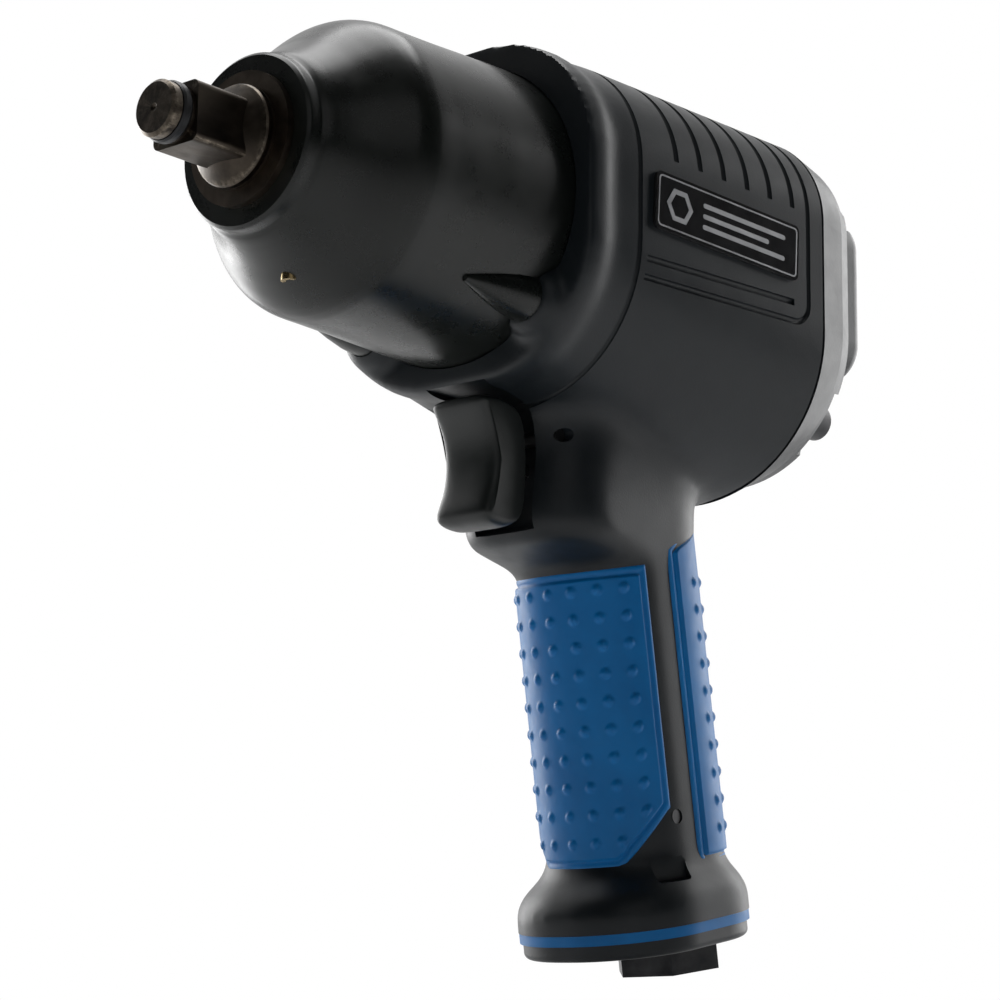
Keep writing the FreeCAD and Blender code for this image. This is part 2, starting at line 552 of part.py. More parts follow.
def add_handle(body):
    loft(body, [
        handle_section(body, "dim.root_down", "dim.root_front", "dim.root_back"),
        handle_section(body, "dim.neck_down", "dim.neck_front", "dim.neck_back"),
        handle_section(body, "dim.shelf_down", "dim.shelf_front", "dim.shelf_back")])
    loft(body, [
        half_section(across_handle(body, down), f"-({front})", "dim.rear_grip_edge", "dim.handle_half",
                     "dim.handle_corner")
        for down, front in (("dim.shelf_down - 0.2", "dim.shelf_front"),
                            ("dim.throat_down", "dim.throat_front"),
                            ("dim.grip_top", "dim.grip_front"))])
    core = handle_section(body, "dim.shelf_down - 2", "dim.core_front", "dim.core_front", "dim.core_half",
                          "dim.core_corner")
    pad(body, core, "dim.grip_bottom - dim.shelf_down + 4", back=True)
    strip = round_box(across_handle(body, "dim.grip_top - 1"), "0.2 - dim.front_grip_edge",
                      "dim.rear_grip_edge - 0.2",
                      "-dim.strip_half", "dim.strip_half", "0.3")
    pad(body, strip, "dim.grip_bottom - dim.grip_top + 2", back=True)
    loft(body, [
        handle_section(body, "dim.grip_bottom", "dim.grip_front", "dim.grip_front", "dim.grip_half",
                       "dim.handle_corner"),
        handle_section(body, "dim.base_top", "dim.base_front - 1.5", "dim.base_back - 1",
                       "dim.base_half - 1",
                       "dim.handle_corner + 4"),
        handle_section(body, "dim.base_end", "dim.base_front", "dim.base_back", "dim.base_half",
                       "dim.base_corner")])


def hollow_handle(body):
    """Trigger recess, throttle bore, air inlet, exhaust duct, muffler chamber and pin holes."""
    half = "(dim.trigger_half + dim.recess_gap)"
    top, floor = "dim.recess_gap - dim.trigger_top", "(-dim.trigger_bottom - dim.recess_gap)"
    recess = outline(new_sketch(body, "XZ_Plane", half), [
        ("dim.lobe_start - 10", top), ("dim.recess_back", top),
        ("dim.recess_back", f"{floor} + dim.recess_heel"),
        ("dim.recess_back - dim.recess_heel", floor, "dim.recess_heel"), ("dim.lobe_start - 10", floor)])
    pocket(body, recess, f"2 * {half}")
    bore = circle(across_barrel(body, "dim.recess_back - 2"), "0", "-dim.throttle_z", "dim.valve_bore_r")
    pocket(body, bore, "dim.bore_end - dim.recess_back + 2", back=True)
    for top, centre, across, radius in (
            ("dim.inlet_top", "dim.inlet_x", "0", "dim.inlet_r"),
            ("dim.inlet_shank_top", "dim.inlet_x", "0", "dim.inlet_shank_r + 0.05"),
            ("dim.seal_top", "dim.inlet_x", "0", "dim.seal_r + 0.05"),
            ("dim.exhaust_top", "0", "dim.exhaust_y", "dim.exhaust_r"),
            ("dim.exhaust_top", "0", "-dim.exhaust_y", "dim.exhaust_r")):
        duct = circle(across_handle(body, "dim.base_end + 1"), centre, across, radius)
        pocket(body, duct, f"dim.base_end + 1 - {top}", back=True)
    chamber = handle_section(body, "dim.base_end + 1", "dim.chamber_front", "dim.chamber_back",
                             "dim.chamber_half",
                             "dim.chamber_corner")
    circle(chamber, "dim.inlet_x", "0", "dim.stem_wall_r")
    pocket(body, chamber, "dim.base_end + 1 - dim.chamber_top", back=True)
    pins = new_sketch(body, "XZ_Plane", "dim.handle_half + 5")
    circle(pins, "dim.trigger_pin_x", "-dim.trigger_pin_z", "dim.trigger_pin_r + 0.01")
    circle(pins, handle_pin_x(), handle_pin_z(), "dim.handle_pin_r + 0.01")
    pocket(body, pins, "2 * dim.handle_half + 10")


def handle_pin_x():
    return ("dim.handle_x - dim.handle_pin_x * cos(dim.rake * 1 deg)"
            " + dim.handle_pin_down * sin(dim.rake * 1 deg)")


def handle_pin_z():
    return "-dim.handle_pin_x * sin(dim.rake * 1 deg) - dim.handle_pin_down * cos(dim.rake * 1 deg)"


def add_motor_shell(body):
    loft(body, [section_at(body, "dim.collar_start", "front"), section_at(body, "dim.parting_x", "mid"),
                section_at(body, "dim.seam_x", "rear")])
    for side in (-1, 1):
        lobe = circle(across_barrel(body, "dim.lobe_start"), f"{side} * dim.bolt_offset",
                      "-dim.bolt_offset", "dim.lobe_r")
        pad(body, lobe, "dim.parting_x - dim.lobe_start - 1")


def hollow_motor_shell(body):
    bore = circle(across_barrel(body, "dim.collar_start - 5"), "0", "0", "dim.motor_bore_r")
    pocket(body, bore, "dim.seam_x - dim.collar_start + 10", back=True)
    seat = round_box(across_barrel(body, "dim.lobe_start - 1"), "-dim.flange_wide - 0.1",
                     "dim.flange_wide + 0.1",
                     "-dim.flange_wide - 0.1", "dim.flange_wide + 0.1", "dim.flange_corner")
    circle(seat, "0", "0", "dim.motor_bore_r - 1")
    pocket(body, seat, "dim.case_end + dim.gasket - dim.lobe_start + 1", back=True)
    mouth = circle(across_barrel(body, "dim.lobe_start - 1"), "0", "0", "dim.case_r + 0.15")
    pocket(body, mouth, "dim.case_end - dim.lobe_start + 1", back=True)
    for side in (-1, 1):
        ear = circle(across_barrel(body, "dim.lobe_start - 1"), f"{side} * dim.bolt_offset",
                     "-dim.bolt_offset",
                     "dim.ear_r + 0.1")
        pocket(body, ear, "dim.case_end - dim.lobe_start + 1", back=True)
    for across, up in corner_signs():
        place = (f"{across} * dim.bolt_offset", f"{up} * dim.bolt_offset")
        hole = circle(across_barrel(body, "dim.collar_start - 1"), *place, "dim.bolt_r + 0.2")
        pocket(body, hole, "dim.seam_x - dim.collar_start + 2", back=True)
        counterbore = circle(across_barrel(body, "dim.seam_x + 1"), *place, "dim.bolt_head_r + 0.1")
        pocket(body, counterbore, "dim.bolt_head + 3")
        cover_z = "dim.cover_bolt_top" if up == 1 else "-dim.cover_bolt_low"
        thread = circle(across_barrel(body, "dim.seam_x + 1"), f"{across} * dim.cover_bolt_y", cover_z,
                        "dim.bolt_r + 0.05")
        pocket(body, thread, "15")


def between(name, x):
    """A housing section size at a station between the parting groove and the rear seam."""
    share = f"(({x}) - dim.parting_x) / (dim.seam_x - dim.parting_x)"
    return f"(dim.mid_{name} + (dim.rear_{name} - dim.mid_{name}) * {share})"


def side_slope():
    """How far the housing's sides spread towards the rear, in degrees."""
    return size("atan((dim.rear_half - dim.mid_half) / (dim.seam_x - dim.parting_x))")


def cut_parting_groove(body):
    """A groove round the collar: the space between two copies of the section, one grown, one shrunk."""
    ring = across_barrel(body, "dim.parting_x + dim.groove_width")
    for grown in ("2", "-dim.groove_depth"):
        round_box(ring, f"-dim.mid_half - ({grown})", f"dim.mid_half + ({grown})",
                  f"-dim.mid_bottom - ({grown})", f"dim.mid_top + ({grown})",
                  f"dim.mid_low_corner + ({grown})", f"dim.mid_corner + ({grown})")
    pocket(body, ring, "dim.groove_width")


def cut_vent_slots(body):
    """Narrow slots across each shoulder, from the flat side up to the flat top."""
    for index in range(int(SIZES["slot_count"])):
        x = f"dim.slot_first + {index} * dim.slot_pitch"
        half, top, corner = between("half", x), between("top", x), between("corner", x)
        floor = f"({half} - dim.slot_depth)"
        outside = f"({half} + 10)"
        for side in (-1, 1):
            slot = outline(across_barrel(body, f"{x} + dim.slot_width"), [
                (f"{side} * {outside}", "dim.slot_low"), (f"{side} * {floor}", "dim.slot_low"),
                (f"{side} * {floor}", f"{top} - {corner}"),
                (f"{side} * ({half} - {corner})", f"{top} - dim.slot_depth",
                 f"{side} * ({corner} - dim.slot_depth)"),
                (f"{side} * ({half} - {corner})", f"{top} + 10"), (f"{side} * {outside}", f"{top} + 10")])
            pocket(body, slot, "dim.slot_width")


def cut_panel_grooves(body):
    """Two long shallow grooves below each badge, cut square to the sloping side."""
    for side in (-1, 1):
        for height in ("dim.panel_high", "dim.panel_low"):
            sketch = new_sketch(body, "XZ_Plane")
            turned = FreeCAD.Rotation(V(0, 1, 0), side_slope() * side)
            sketch.AttachmentOffset = FreeCAD.Placement(V(0, 0, 0), turned)
            bind(sketch, AttachmentOffset__Base__x="dim.parting_x",
                 AttachmentOffset__Base__z=f"-{side} * (dim.mid_half + 0.01)")
            round_box(sketch, "dim.panel_start - dim.parting_x", "dim.panel_end - dim.parting_x",
                      f"-{height} - dim.panel_width / 2", f"dim.panel_width / 2 - {height}",
                      "dim.panel_width / 2.2")
            pocket(body, sketch, "dim.panel_depth", back=side == 1)


def make_housing():
    body = new_body("motor_housing")
    add_motor_shell(body)
    add_handle(body)
    hollow_motor_shell(body)
    hollow_handle(body)
    cut_parting_groove(body)
    cut_vent_slots(body)
    cut_panel_grooves(body)
    return body


# ---- trigger and throttle

def make_trigger():
    """Curved finger trigger: a side outline with a hollow front, rounded across."""
    body = new_body("trigger")
    front, top, bottom = "dim.trigger_front", "-dim.trigger_top", "-dim.trigger_bottom"
    side = outline(new_sketch(body, "XZ_Plane", "-dim.trigger_half"), [
        ("dim.trigger_back", top), (f"{front} + 3", top), (front, f"{top} - 3.4", "3.4"),
        (f"{front} + 3.8", f"{top} - 16", "30"), (f"{front} + 3.0", f"{bottom} + 4", "28"),
        (f"{front} + 7.4", bottom, "4.8"), ("dim.trigger_back", bottom)])
    block = pad(body, side, "2 * dim.trigger_half")
    doc.recompute()
    edges = [f"Edge{number}" for number, edge in enumerate(block.Shape.Edges, start=1)
             if abs(abs(edge.CenterOfMass.y) - size("dim.trigger_half")) < MIN_LENGTH * 1000
             and edge.CenterOfMass.x < size("dim.trigger_back") - 1]
    rounded = body.newObject("PartDesign::Fillet", "finger_round")
    rounded.Base = (block, edges)
    bind(rounded, Radius="dim.trigger_round")
    body.Tip = rounded
    back = "dim.trigger_back + 1"
    heel = outline(new_sketch(body, "XZ_Plane", "dim.trigger_half + 1"), [
        ("dim.trigger_back - dim.trigger_heel", f"{bottom} - 1"), (back, f"{bottom} - 1"),
        (back, f"{bottom} + dim.trigger_heel")])
    pocket(body, heel, "2 * dim.trigger_half + 2")
    socket = circle(across_barrel(body, "dim.trigger_back"), "0", "-dim.throttle_z", "dim.rod_r + 0.02")
    pocket(body, socket, "6")
    slot = new_sketch(body, "XZ_Plane", "dim.trigger_half + 1")
    round_box(slot, "dim.pin_slot_start", "dim.trigger_back + 1", "-dim.trigger_pin_z - dim.pin_slot_half",
              "dim.pin_slot_half - dim.trigger_pin_z", "0.8")
    pocket(body, slot, "2 * dim.trigger_half + 2")


def make_spring(label, start, end, radius, wire, turns):
    """A coil along X at the throttle bore's height, with its ends inside start and end."""
    length = size(end) - size(start) - 2 * size(wire)
    path = Part.makeHelix(length / size(turns), length, size(radius))
    section = Part.Wire([Part.makeCircle(size(wire), V(size(radius), 0, 0), V(0, 1, 0))])
    coil = Part.Wire(path).makePipeShell([section], True, True)
    spring = doc.addObject("Part::Feature", label)
    spring.Shape = coil
    spring.Placement = FreeCAD.Placement(V(size(start) + size(wire), 0, -size("dim.throttle_z")),
                                         FreeCAD.Rotation(V(0, 1, 0), 90))
    return keep(spring, label)


def throttle_ring(label, start, end, inner, outer):
    """A turned ring on the throttle bore's axis."""
    body = new_body(label)
    ring = circle(across_barrel(body, start), "0", "-dim.throttle_z", outer)
    circle(ring, "0", "-dim.throttle_z", inner)
    pad(body, ring, f"({end}) - ({start})")


def make_throttle():
    rod_start = "dim.trigger_back - 5.9"
    keep(cylinder("dim.rod_r", f"dim.rod_end - ({rod_start})", (rod_start, "0", "-dim.throttle_z"),
                  (1, 0, 0)),
         "trigger_rod")
    throttle_ring("trigger_bushing", "dim.guide_start", "dim.guide_end", "dim.rod_r + dim.fit",
                  "dim.valve_bore_r")
    throttle_ring("throttle_seat", "dim.seat_start", "dim.seat_end", "dim.seat_hole_r", "dim.valve_bore_r")
    head = cylinder("dim.valve_r", "dim.valve_end - dim.valve_start",
                    ("dim.valve_start", "0", "-dim.throttle_z"), (1, 0, 0))
    stem = cylinder("dim.valve_stem_r", "dim.valve_stem_end - dim.valve_end + 1",
                    ("dim.valve_end - 1", "0", "-dim.throttle_z"), (1, 0, 0))
    keep(fuse([head, stem]), "throttle_valve")
    make_spring("throttle_spring", "dim.valve_end + 0.1", "dim.bore_end - 0.1", "dim.spring_r",
                "dim.spring_wire_r",
                "dim.spring_turns")
    keep(cylinder("dim.trigger_pin_r", "2 * dim.trigger_pin_half",
                  ("dim.trigger_pin_x", "-dim.trigger_pin_half", "-dim.trigger_pin_z"),
                  (0, 1, 0)), "trigger_pin")


# ---- rear cover and reverse valve

def round_rim(body, base, x, radius, name):
    """Fillet every edge of the base that lies flat at x."""
    doc.recompute()
    rim = [f"Edge{number}" for number, edge in enumerate(base.Shape.Edges, start=1)
           if all(abs(vertex.X - size(x)) < MIN_LENGTH * 1000 for vertex in edge.Vertexes)]
    rounded = body.newObject("PartDesign::Fillet", name)
    rounded.Base = (base, rim)
    bind(rounded, Radius=radius)
    body.Tip = rounded


def make_rear_cover():
    """Domed cover with a raised band across it, bolt ledges at its corners and the dial's dish."""
    body = new_body("rear_cover")
    sections = [section_at(body, "dim.seam_x + dim.gasket", "rear")]
    for turn in (0, 30, 60, 90):
        x = f"dim.cover_end - dim.cover_round * (1 - sin({turn} deg))"
        inset = f"dim.cover_round * (1 - cos({turn} deg))"
        sections.append(round_box(across_barrel(body, x), f"{inset} - dim.cover_half",
                                  f"dim.cover_half - {inset}", f"{inset} - dim.cover_bottom",
                                  f"dim.cover_top - {inset}",
                                  f"dim.cover_low_corner - {inset}", f"dim.cover_corner - {inset}"))
    loft(body, sections)
    raised = round_box(across_barrel(body, "dim.cover_end - 5"), "-dim.pad_half", "dim.pad_half",
                       "-dim.pad_bottom", "dim.pad_top", "dim.pad_corner")
    band = pad(body, raised, "dim.cover_pad_end - dim.cover_end + 5")
    round_rim(body, band, "dim.cover_pad_end", "dim.pad_round", "band_round")
    hollow = circle(across_barrel(body, "dim.seam_x"), "0", "0", "dim.motor_bore_r - 6")
    pocket(body, hollow, "12", back=True)
    for across, up in corner_signs():
        height = "dim.cover_bolt_top" if up == 1 else "-dim.cover_bolt_low"
        notch = across_barrel(body, "dim.cover_end + 8")
        circle(notch, f"{across} * (dim.cover_bolt_y + dim.notch_out)",
               f"{height} + {up} * dim.notch_out * 0.6",
               "dim.notch_r")
        pocket(body, notch, "dim.cover_end + 8 - dim.notch_floor")
        hole = circle(across_barrel(body, "dim.cover_end + 8"), f"{across} * dim.cover_bolt_y", height,
                      "dim.bolt_r + 0.2")
        pocket(body, hole, "30")
    valve = circle(across_barrel(body, "dim.cover_end + 8"), "0", "-dim.reverse_z", "dim.reverse_sleeve_r")
    pocket(body, valve, "dim.cover_end + 8 - dim.reverse_floor")
    dish = circle(across_barrel(body, "dim.cover_end + 8"), "0", "-dim.reverse_z", "dim.knob_r + 0.6")
    pocket(body, dish, "dim.cover_end + 8 - dim.dish_floor")
    detent = circle(across_barrel(body, "dim.cover_end + 8"), "0", "dim.detent_out - dim.reverse_z",
                    "dim.ball_seat_r")
    pocket(body, detent, "dim.cover_end + 8 - dim.detent_floor")


def reverse_cylinder(radius, start, end, up="0", name="cylinder"):
    return cylinder(radius, f"({end}) - ({start})", (start, "0", f"{up} - dim.reverse_z"), (1, 0, 0), name)


def make_reverse_spool():
    spool = reverse_cylinder("dim.reverse_r", "dim.reverse_floor + 0.2", "dim.knob_start")
    port = cylinder("dim.port_r", "2 * dim.reverse_r + 4", ("dim.reverse_floor + 7", "-dim.reverse_r - 2",
                                                           "-dim.reverse_z"), (0, 1, 0))
    thread = reverse_cylinder("dim.knob_screw_r", "dim.knob_start - dim.knob_screw_length",
                              "dim.knob_start + 1")
    keep(cut(spool, fuse([port, thread])), "reverse_valve")


def make_reverse_knob():
    """A round dial with a raised finger bar across it, held by one screw."""
    disc = reverse_cylinder("dim.knob_r", "dim.knob_start", "dim.knob_face")
    bar = doc.addObject("Part::Box", "finger_bar")
    bind(bar, Length="dim.knob_end - dim.knob_start", Width="dim.knob_bar", Height="2 * dim.knob_r - 2",
         Placement__Base__x="dim.knob_start", Placement__Base__y="-dim.knob_bar / 2",
         Placement__Base__z="-dim.reverse_z - dim.knob_r + 1")
    hole = reverse_cylinder("dim.knob_screw_r + 0.02", "dim.knob_start - 1", "dim.knob_end + 1")
    seat = reverse_cylinder("dim.knob_screw_head_r + 0.1", "dim.knob_end - dim.knob_screw_head",
                            "dim.knob_end + 1")
    keep(cut(fuse([disc, bar]), fuse([hole, seat])), "reverse_knob")
    shank = reverse_cylinder("dim.knob_screw_r", "dim.knob_start - dim.knob_screw_length",
                             "dim.knob_end - dim.knob_screw_head")
    head = reverse_cylinder("dim.knob_screw_head_r", "dim.knob_end - dim.knob_screw_head", "dim.knob_end")
    keep(fuse([shank, head]), "knob_screw")


def make_detent():
    """A ball under the dial, pushed out by a small tube-like spring."""
    ball = doc.addObject("Part::Sphere", "detent_ball")
    bind(ball, Radius="dim.ball_seat_r - 0.1", Placement__Base__x="dim.dish_floor - dim.ball_seat_r",
         Placement__Base__z="dim.detent_out - dim.reverse_z")
    keep(ball, "detent_ball")
    spring = reverse_cylinder("dim.ball_seat_r - 0.2", "dim.detent_floor + 0.1",
                              "dim.dish_floor - 2 * dim.ball_seat_r", "dim.detent_out", "detent_coil")
    core = reverse_cylinder("dim.ball_seat_r - 0.8", "dim.detent_floor", "dim.dish_floor", "dim.detent_out")
    keep(cut(spring, core), "detent_spring")


def make_reverse():
    outer = reverse_cylinder("dim.reverse_sleeve_r", "dim.reverse_floor", "dim.dish_floor")
    inner = reverse_cylinder("dim.reverse_r + dim.fit", "dim.reverse_floor - 1", "dim.dish_floor + 1")
    keep(cut(outer, inner), "reverse_bushing")
    make_reverse_spool()
    make_reverse_knob()
    make_detent()


def make_gaskets():
    """Flat seals: behind the hammer case, and between the housing and the rear cover."""
    front = new_body("case_gasket")
    shape = round_box(across_barrel(front, "dim.case_end"), "-dim.flange_wide", "dim.flange_wide",
                      "-dim.flange_wide",
                      "dim.flange_wide", "dim.flange_corner")
    circle(shape, "0", "0", "dim.case_cavity_r")
    for across, up in corner_signs():
        circle(shape, f"{across} * dim.bolt_offset", f"{up} * dim.bolt_offset", "dim.bolt_r + 0.1")
    pad(front, shape, "dim.gasket")
    rear = new_body("rear_gasket")
    shape = round_box(across_barrel(rear, "dim.seam_x"), "-dim.rear_half + 0.7", "dim.rear_half - 0.7",
                      "-dim.rear_bottom + 0.7", "dim.rear_top - 0.7", "dim.rear_low_corner - 0.7",
                      "dim.rear_corner - 0.7")
    circle(shape, "0", "0", "dim.motor_bore_r")
    for across, up in corner_signs():
        height = "dim.cover_bolt_top" if up == 1 else "-dim.cover_bolt_low"
        circle(shape, f"{across} * dim.cover_bolt_y", height, "dim.bolt_r + 0.1")
    pad(rear, shape, "dim.gasket")


def socket_bolt(place, start, head_at):
    """One socket head cap screw along X, its head towards the rear."""
    shank = cylinder("dim.bolt_r", f"({head_at}) - ({start}) + 1", (start, *place), (1, 0, 0))
    head = cylinder("dim.bolt_head_r", "dim.bolt_head", (head_at, *place), (1, 0, 0))
    socket = doc.addObject("Part::Prism", "hex_socket")
    bind(socket, Circumradius="2.3", Height="dim.bolt_head")
    socket.Placement = FreeCAD.Placement(V(0, 0, 0), FreeCAD.Rotation(V(0, 0, 1), V(1, 0, 0)))
    bind(socket, Placement__Base__x=f"({head_at}) + 2", Placement__Base__y=place[0],
         Placement__Base__z=place[1])
    return cut(fuse([shank, head]), socket)


def make_bolts():
    case_bolts = [socket_bolt((f"{across} * dim.bolt_offset", f"{up} * dim.bolt_offset"),
                              "dim.spigot_start + 0.5",
                              "dim.seam_x - dim.bolt_head - 1.5") for across, up in corner_signs()]
    group(case_bolts, "hammer_case_bolts")
    cover_bolts = [socket_bolt((f"{across} * dim.cover_bolt_y",
                                "dim.cover_bolt_top" if up == 1 else "-dim.cover_bolt_low"),
                               "dim.seam_x - 12", "dim.notch_floor") for across, up in corner_signs()]
    group(cover_bolts, "rear_cover_bolts")


# ---- pieces drawn in the handle's own frame, where "down" is -Z

def handle_body(label):
    body = new_body(label)
    hang_on_handle(body)
    return body


def down_sketch(body, down):
    return new_sketch(body, "XY_Plane", f"-({down})")


def handle_ring(label, start, end, inner, outer, centre="0"):
    body = handle_body(label)
    ring = circle(down_sketch(body, start), centre, "0", outer)
    circle(ring, centre, "0", inner)
    pad(body, ring, f"({end}) - ({start})", back=True)
    return body


def make_grips():
    """Two overmoulded grips: the handle's outline without its core, each cut off at its own edge."""
    for label, edge, away, top in (("front_grip", "-dim.front_grip_edge", 1, "dim.grip_top + 0.1"),
                                   ("rear_grip", "dim.rear_grip_edge", -1, "dim.shelf_down + 0.1")):
        body = handle_body(label)
        shell = round_box(down_sketch(body, top), "-dim.grip_front", "dim.grip_front", "-dim.grip_half",
                          "dim.grip_half", "dim.grip_corner")
        pad(body, shell, f"dim.grip_bottom - 0.1 - ({top})", back=True)
        core = round_box(down_sketch(body, "dim.grip_bottom + 1"), "-dim.core_front", "dim.core_front",
                         "-dim.core_half", "dim.core_half", "dim.core_corner")
        far = f"{away} * (dim.grip_front + 2)"
        left, right = (edge, far) if away == 1 else (far, edge)
        pocket(body, core, "dim.grip_bottom + 2 - dim.shelf_down", back=True)
        rest = round_box(down_sketch(body, "dim.grip_bottom + 1"), left, right, "-dim.grip_half - 2",
                         "dim.grip_half + 2", "0.5")
        pocket(body, rest, "dim.grip_bottom + 2 - dim.shelf_down", back=True)


def base_outline(body, down, shrink):
    return round_box(down_sketch(body, down), f"{shrink} - dim.base_front", f"dim.base_back - {shrink}",
                     f"{shrink} - dim.base_half", f"dim.base_half - {shrink}",
                     f"dim.base_corner - {shrink}")


def make_base():
    ring = handle_body("base_ring")
    shape = base_outline(ring, "dim.base_end + 0.05", "0.2")
    circle(shape, "dim.inlet_x", "0", "dim.stem_wall_r + 0.1")
    pad(ring, shape, "dim.ring_thick - 0.1", back=True)
    cover = handle_body("base_cover")
    shape = base_outline(cover, "dim.base_end + dim.ring_thick", "0.9")
    circle(shape, "dim.inlet_x", "0", "dim.seal_r")
    block = pad(cover, shape, "dim.cap_thick", back=True)
    doc.recompute()
    floor = -size("dim.base_end + dim.ring_thick + dim.cap_thick")
    rim = [f"Edge{number}" for number, edge in enumerate(block.Shape.Edges, start=1)
           if all(abs(vertex.Z - floor) < MIN_LENGTH * 1000 for vertex in edge.Vertexes)
           and edge.BoundBox.DiagonalLength > MIN_LENGTH and len(edge.Vertexes) == 2]
    rounded = cover.newObject("PartDesign::Fillet", "foot_round")
    rounded.Base = (block, rim)
    bind(rounded, Radius="dim.foot_round")
    cover.Tip = rounded
    for index in range(int(SIZES["port_count"])):
        front = f"{index} * dim.port_pitch - dim.port_reach"
        port = round_box(down_sketch(cover, "dim.base_end + dim.ring_thick + dim.cap_thick + 1"), front,
                         f"{front} + dim.port_width", "-dim.port_half", "dim.port_half",
                         "dim.port_width * 0.45")
        pocket(cover, port, "dim.cap_thick + 2", back=True)
    felt = handle_body("muffler")
    shape = round_box(down_sketch(felt, "dim.chamber_top + 0.3"), "0.2 - dim.chamber_front",
                      "dim.chamber_back - 0.2",
                      "0.2 - dim.chamber_half", "dim.chamber_half - 0.2", "dim.chamber_corner")
    circle(shape, "dim.inlet_x", "0", "dim.stem_wall_r + 0.1")
    pad(felt, shape, "dim.base_end - dim.chamber_top - 0.5", back=True)


def make_inlet():
    """The screwed-in air fitting with its hexagon below the base, its seal and its screen."""
    body = handle_body("inlet_bushing")
    shank = circle(down_sketch(body, "dim.inlet_shank_top + 0.1"), "dim.inlet_x", "0", "dim.inlet_shank_r")
    pad(body, shank, "dim.hex_start - dim.inlet_shank_top + 0.5", back=True)
    reach = "dim.hex_flats / sqrt(3)"
    turns = [f"({60 * step} deg + dim.hex_turn * 1 deg)" for step in range(6)]
    flats = outline(down_sketch(body, "dim.hex_start"),
                    [(f"dim.inlet_x + {reach} * cos{turn}", f"{reach} * sin{turn}") for turn in turns])
    pad(body, flats, "dim.hex_end - dim.hex_start", back=True)
    for radius, depth in (("dim.thread_r", "dim.thread_length"), ("dim.inlet_hole_r", "40")):
        hole = circle(down_sketch(body, "dim.hex_end"), "dim.inlet_x", "0", radius)
        pocket(body, hole, depth, back=True)
    handle_ring("inlet_o_ring", "dim.seal_top + 0.5", "dim.seal_top + 2.3", "dim.inlet_shank_r", "dim.seal_r",
                "dim.inlet_x")
    screen = handle_body("inlet_screen")
    mesh = circle(down_sketch(screen, "dim.inlet_shank_top - 1.2"), "dim.inlet_x", "0", "dim.inlet_r - 0.05")
    circle(mesh, "dim.inlet_x", "0", "0.7")
    for step in range(6):
        circle(mesh, f"dim.inlet_x + 2.9 * cos({60 * step} deg)", f"2.9 * sin({60 * step} deg)", "0.9")
    pad(screen, mesh, "0.8", back=True)
    pin = cylinder("dim.handle_pin_r", "2 * dim.strip_half - 0.4",
                   (handle_pin_x(), "0.2 - dim.strip_half", handle_pin_z()), (0, 1, 0))
    keep(pin, "handle_pin")


def make_badges():
    """A thin plate on each flat side of the housing, following the side's slope."""
    slope = side_slope()
    start_y = size(between("half", "dim.badge_start")) + SEAT_CLEARANCE
    for label, side in (("left_badge", -1), ("right_badge", 1)):
        body = new_body(label)
        sketch = new_sketch(body, "XZ_Plane")
        round_box(sketch, "0", "dim.badge_end - dim.badge_start", "-dim.badge_height / 2",
                  "dim.badge_height / 2", "1.5")
        pad(body, sketch, "dim.badge_thick", back=side == 1)
        leaned = FreeCAD.Rotation(V(0, 0, 1), side * slope)
        tilted = FreeCAD.Rotation(V(0, 1, 0), size("dim.badge_tilt"))
        spot = V(size("dim.badge_start"), side * start_y, size("dim.badge_z"))
        body.Placement = FreeCAD.Placement(spot, leaned.multiply(tilted))


def check_and_write():
    """Refuse failed or empty objects, then write one STEP file for each piece."""
    doc.recompute()
    for item in doc.Objects:
        if "Invalid" in item.State or "Error" in item.State:
            raise RuntimeError(f"{item.Label} failed: {item.State}")
    labels = [piece.Label for piece in pieces]
    if len(set(labels)) != len(labels):
        raise RuntimeError("two pieces share a label")
    for piece in pieces:
        if piece.Shape.isNull() or not piece.Shape.isValid() or piece.Shape.Volume < MIN_LENGTH:
            raise RuntimeError(f"{piece.Label} has no valid solid")
    os.makedirs("parts", exist_ok=True)
    for piece in pieces:
        piece.Shape.exportStep(f"parts/{piece.Label}.step")
        print(f"{piece.Label}: {len(piece.Shape.Solids)} solids, {piece.Shape.Volume:.0f} mm3")


make_anvil()
make_drive_rings()
make_case()
make_front_parts()
make_hammers()
make_motor()
make_housing()
make_trigger()
make_throttle()
make_rear_cover()
make_reverse()
make_gaskets()
make_bolts()
make_grips()
make_base()
make_inlet()
make_badges()
check_and_write()
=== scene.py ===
"""Looks for the air impact wrench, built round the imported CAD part. Lengths below are in millimetres."""
import json
import math

import bmesh
import bpy
import numpy as np
from mathutils import Matrix, Vector

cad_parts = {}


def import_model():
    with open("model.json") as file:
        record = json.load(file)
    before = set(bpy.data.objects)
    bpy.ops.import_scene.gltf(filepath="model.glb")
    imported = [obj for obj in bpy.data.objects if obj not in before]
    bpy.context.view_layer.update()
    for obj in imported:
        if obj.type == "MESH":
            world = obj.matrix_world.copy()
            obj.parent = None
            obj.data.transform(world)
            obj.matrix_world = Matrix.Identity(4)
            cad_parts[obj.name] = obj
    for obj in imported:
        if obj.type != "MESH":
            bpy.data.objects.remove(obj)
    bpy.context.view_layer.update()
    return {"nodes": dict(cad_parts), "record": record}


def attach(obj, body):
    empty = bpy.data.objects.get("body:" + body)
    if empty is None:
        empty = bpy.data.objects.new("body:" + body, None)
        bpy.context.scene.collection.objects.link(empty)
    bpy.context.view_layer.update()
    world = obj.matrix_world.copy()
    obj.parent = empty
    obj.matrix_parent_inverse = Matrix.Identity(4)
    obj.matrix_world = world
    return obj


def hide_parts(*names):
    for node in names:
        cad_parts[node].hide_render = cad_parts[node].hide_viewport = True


MM = 0.001

# ---- the tool's main sizes, as in the CAD part

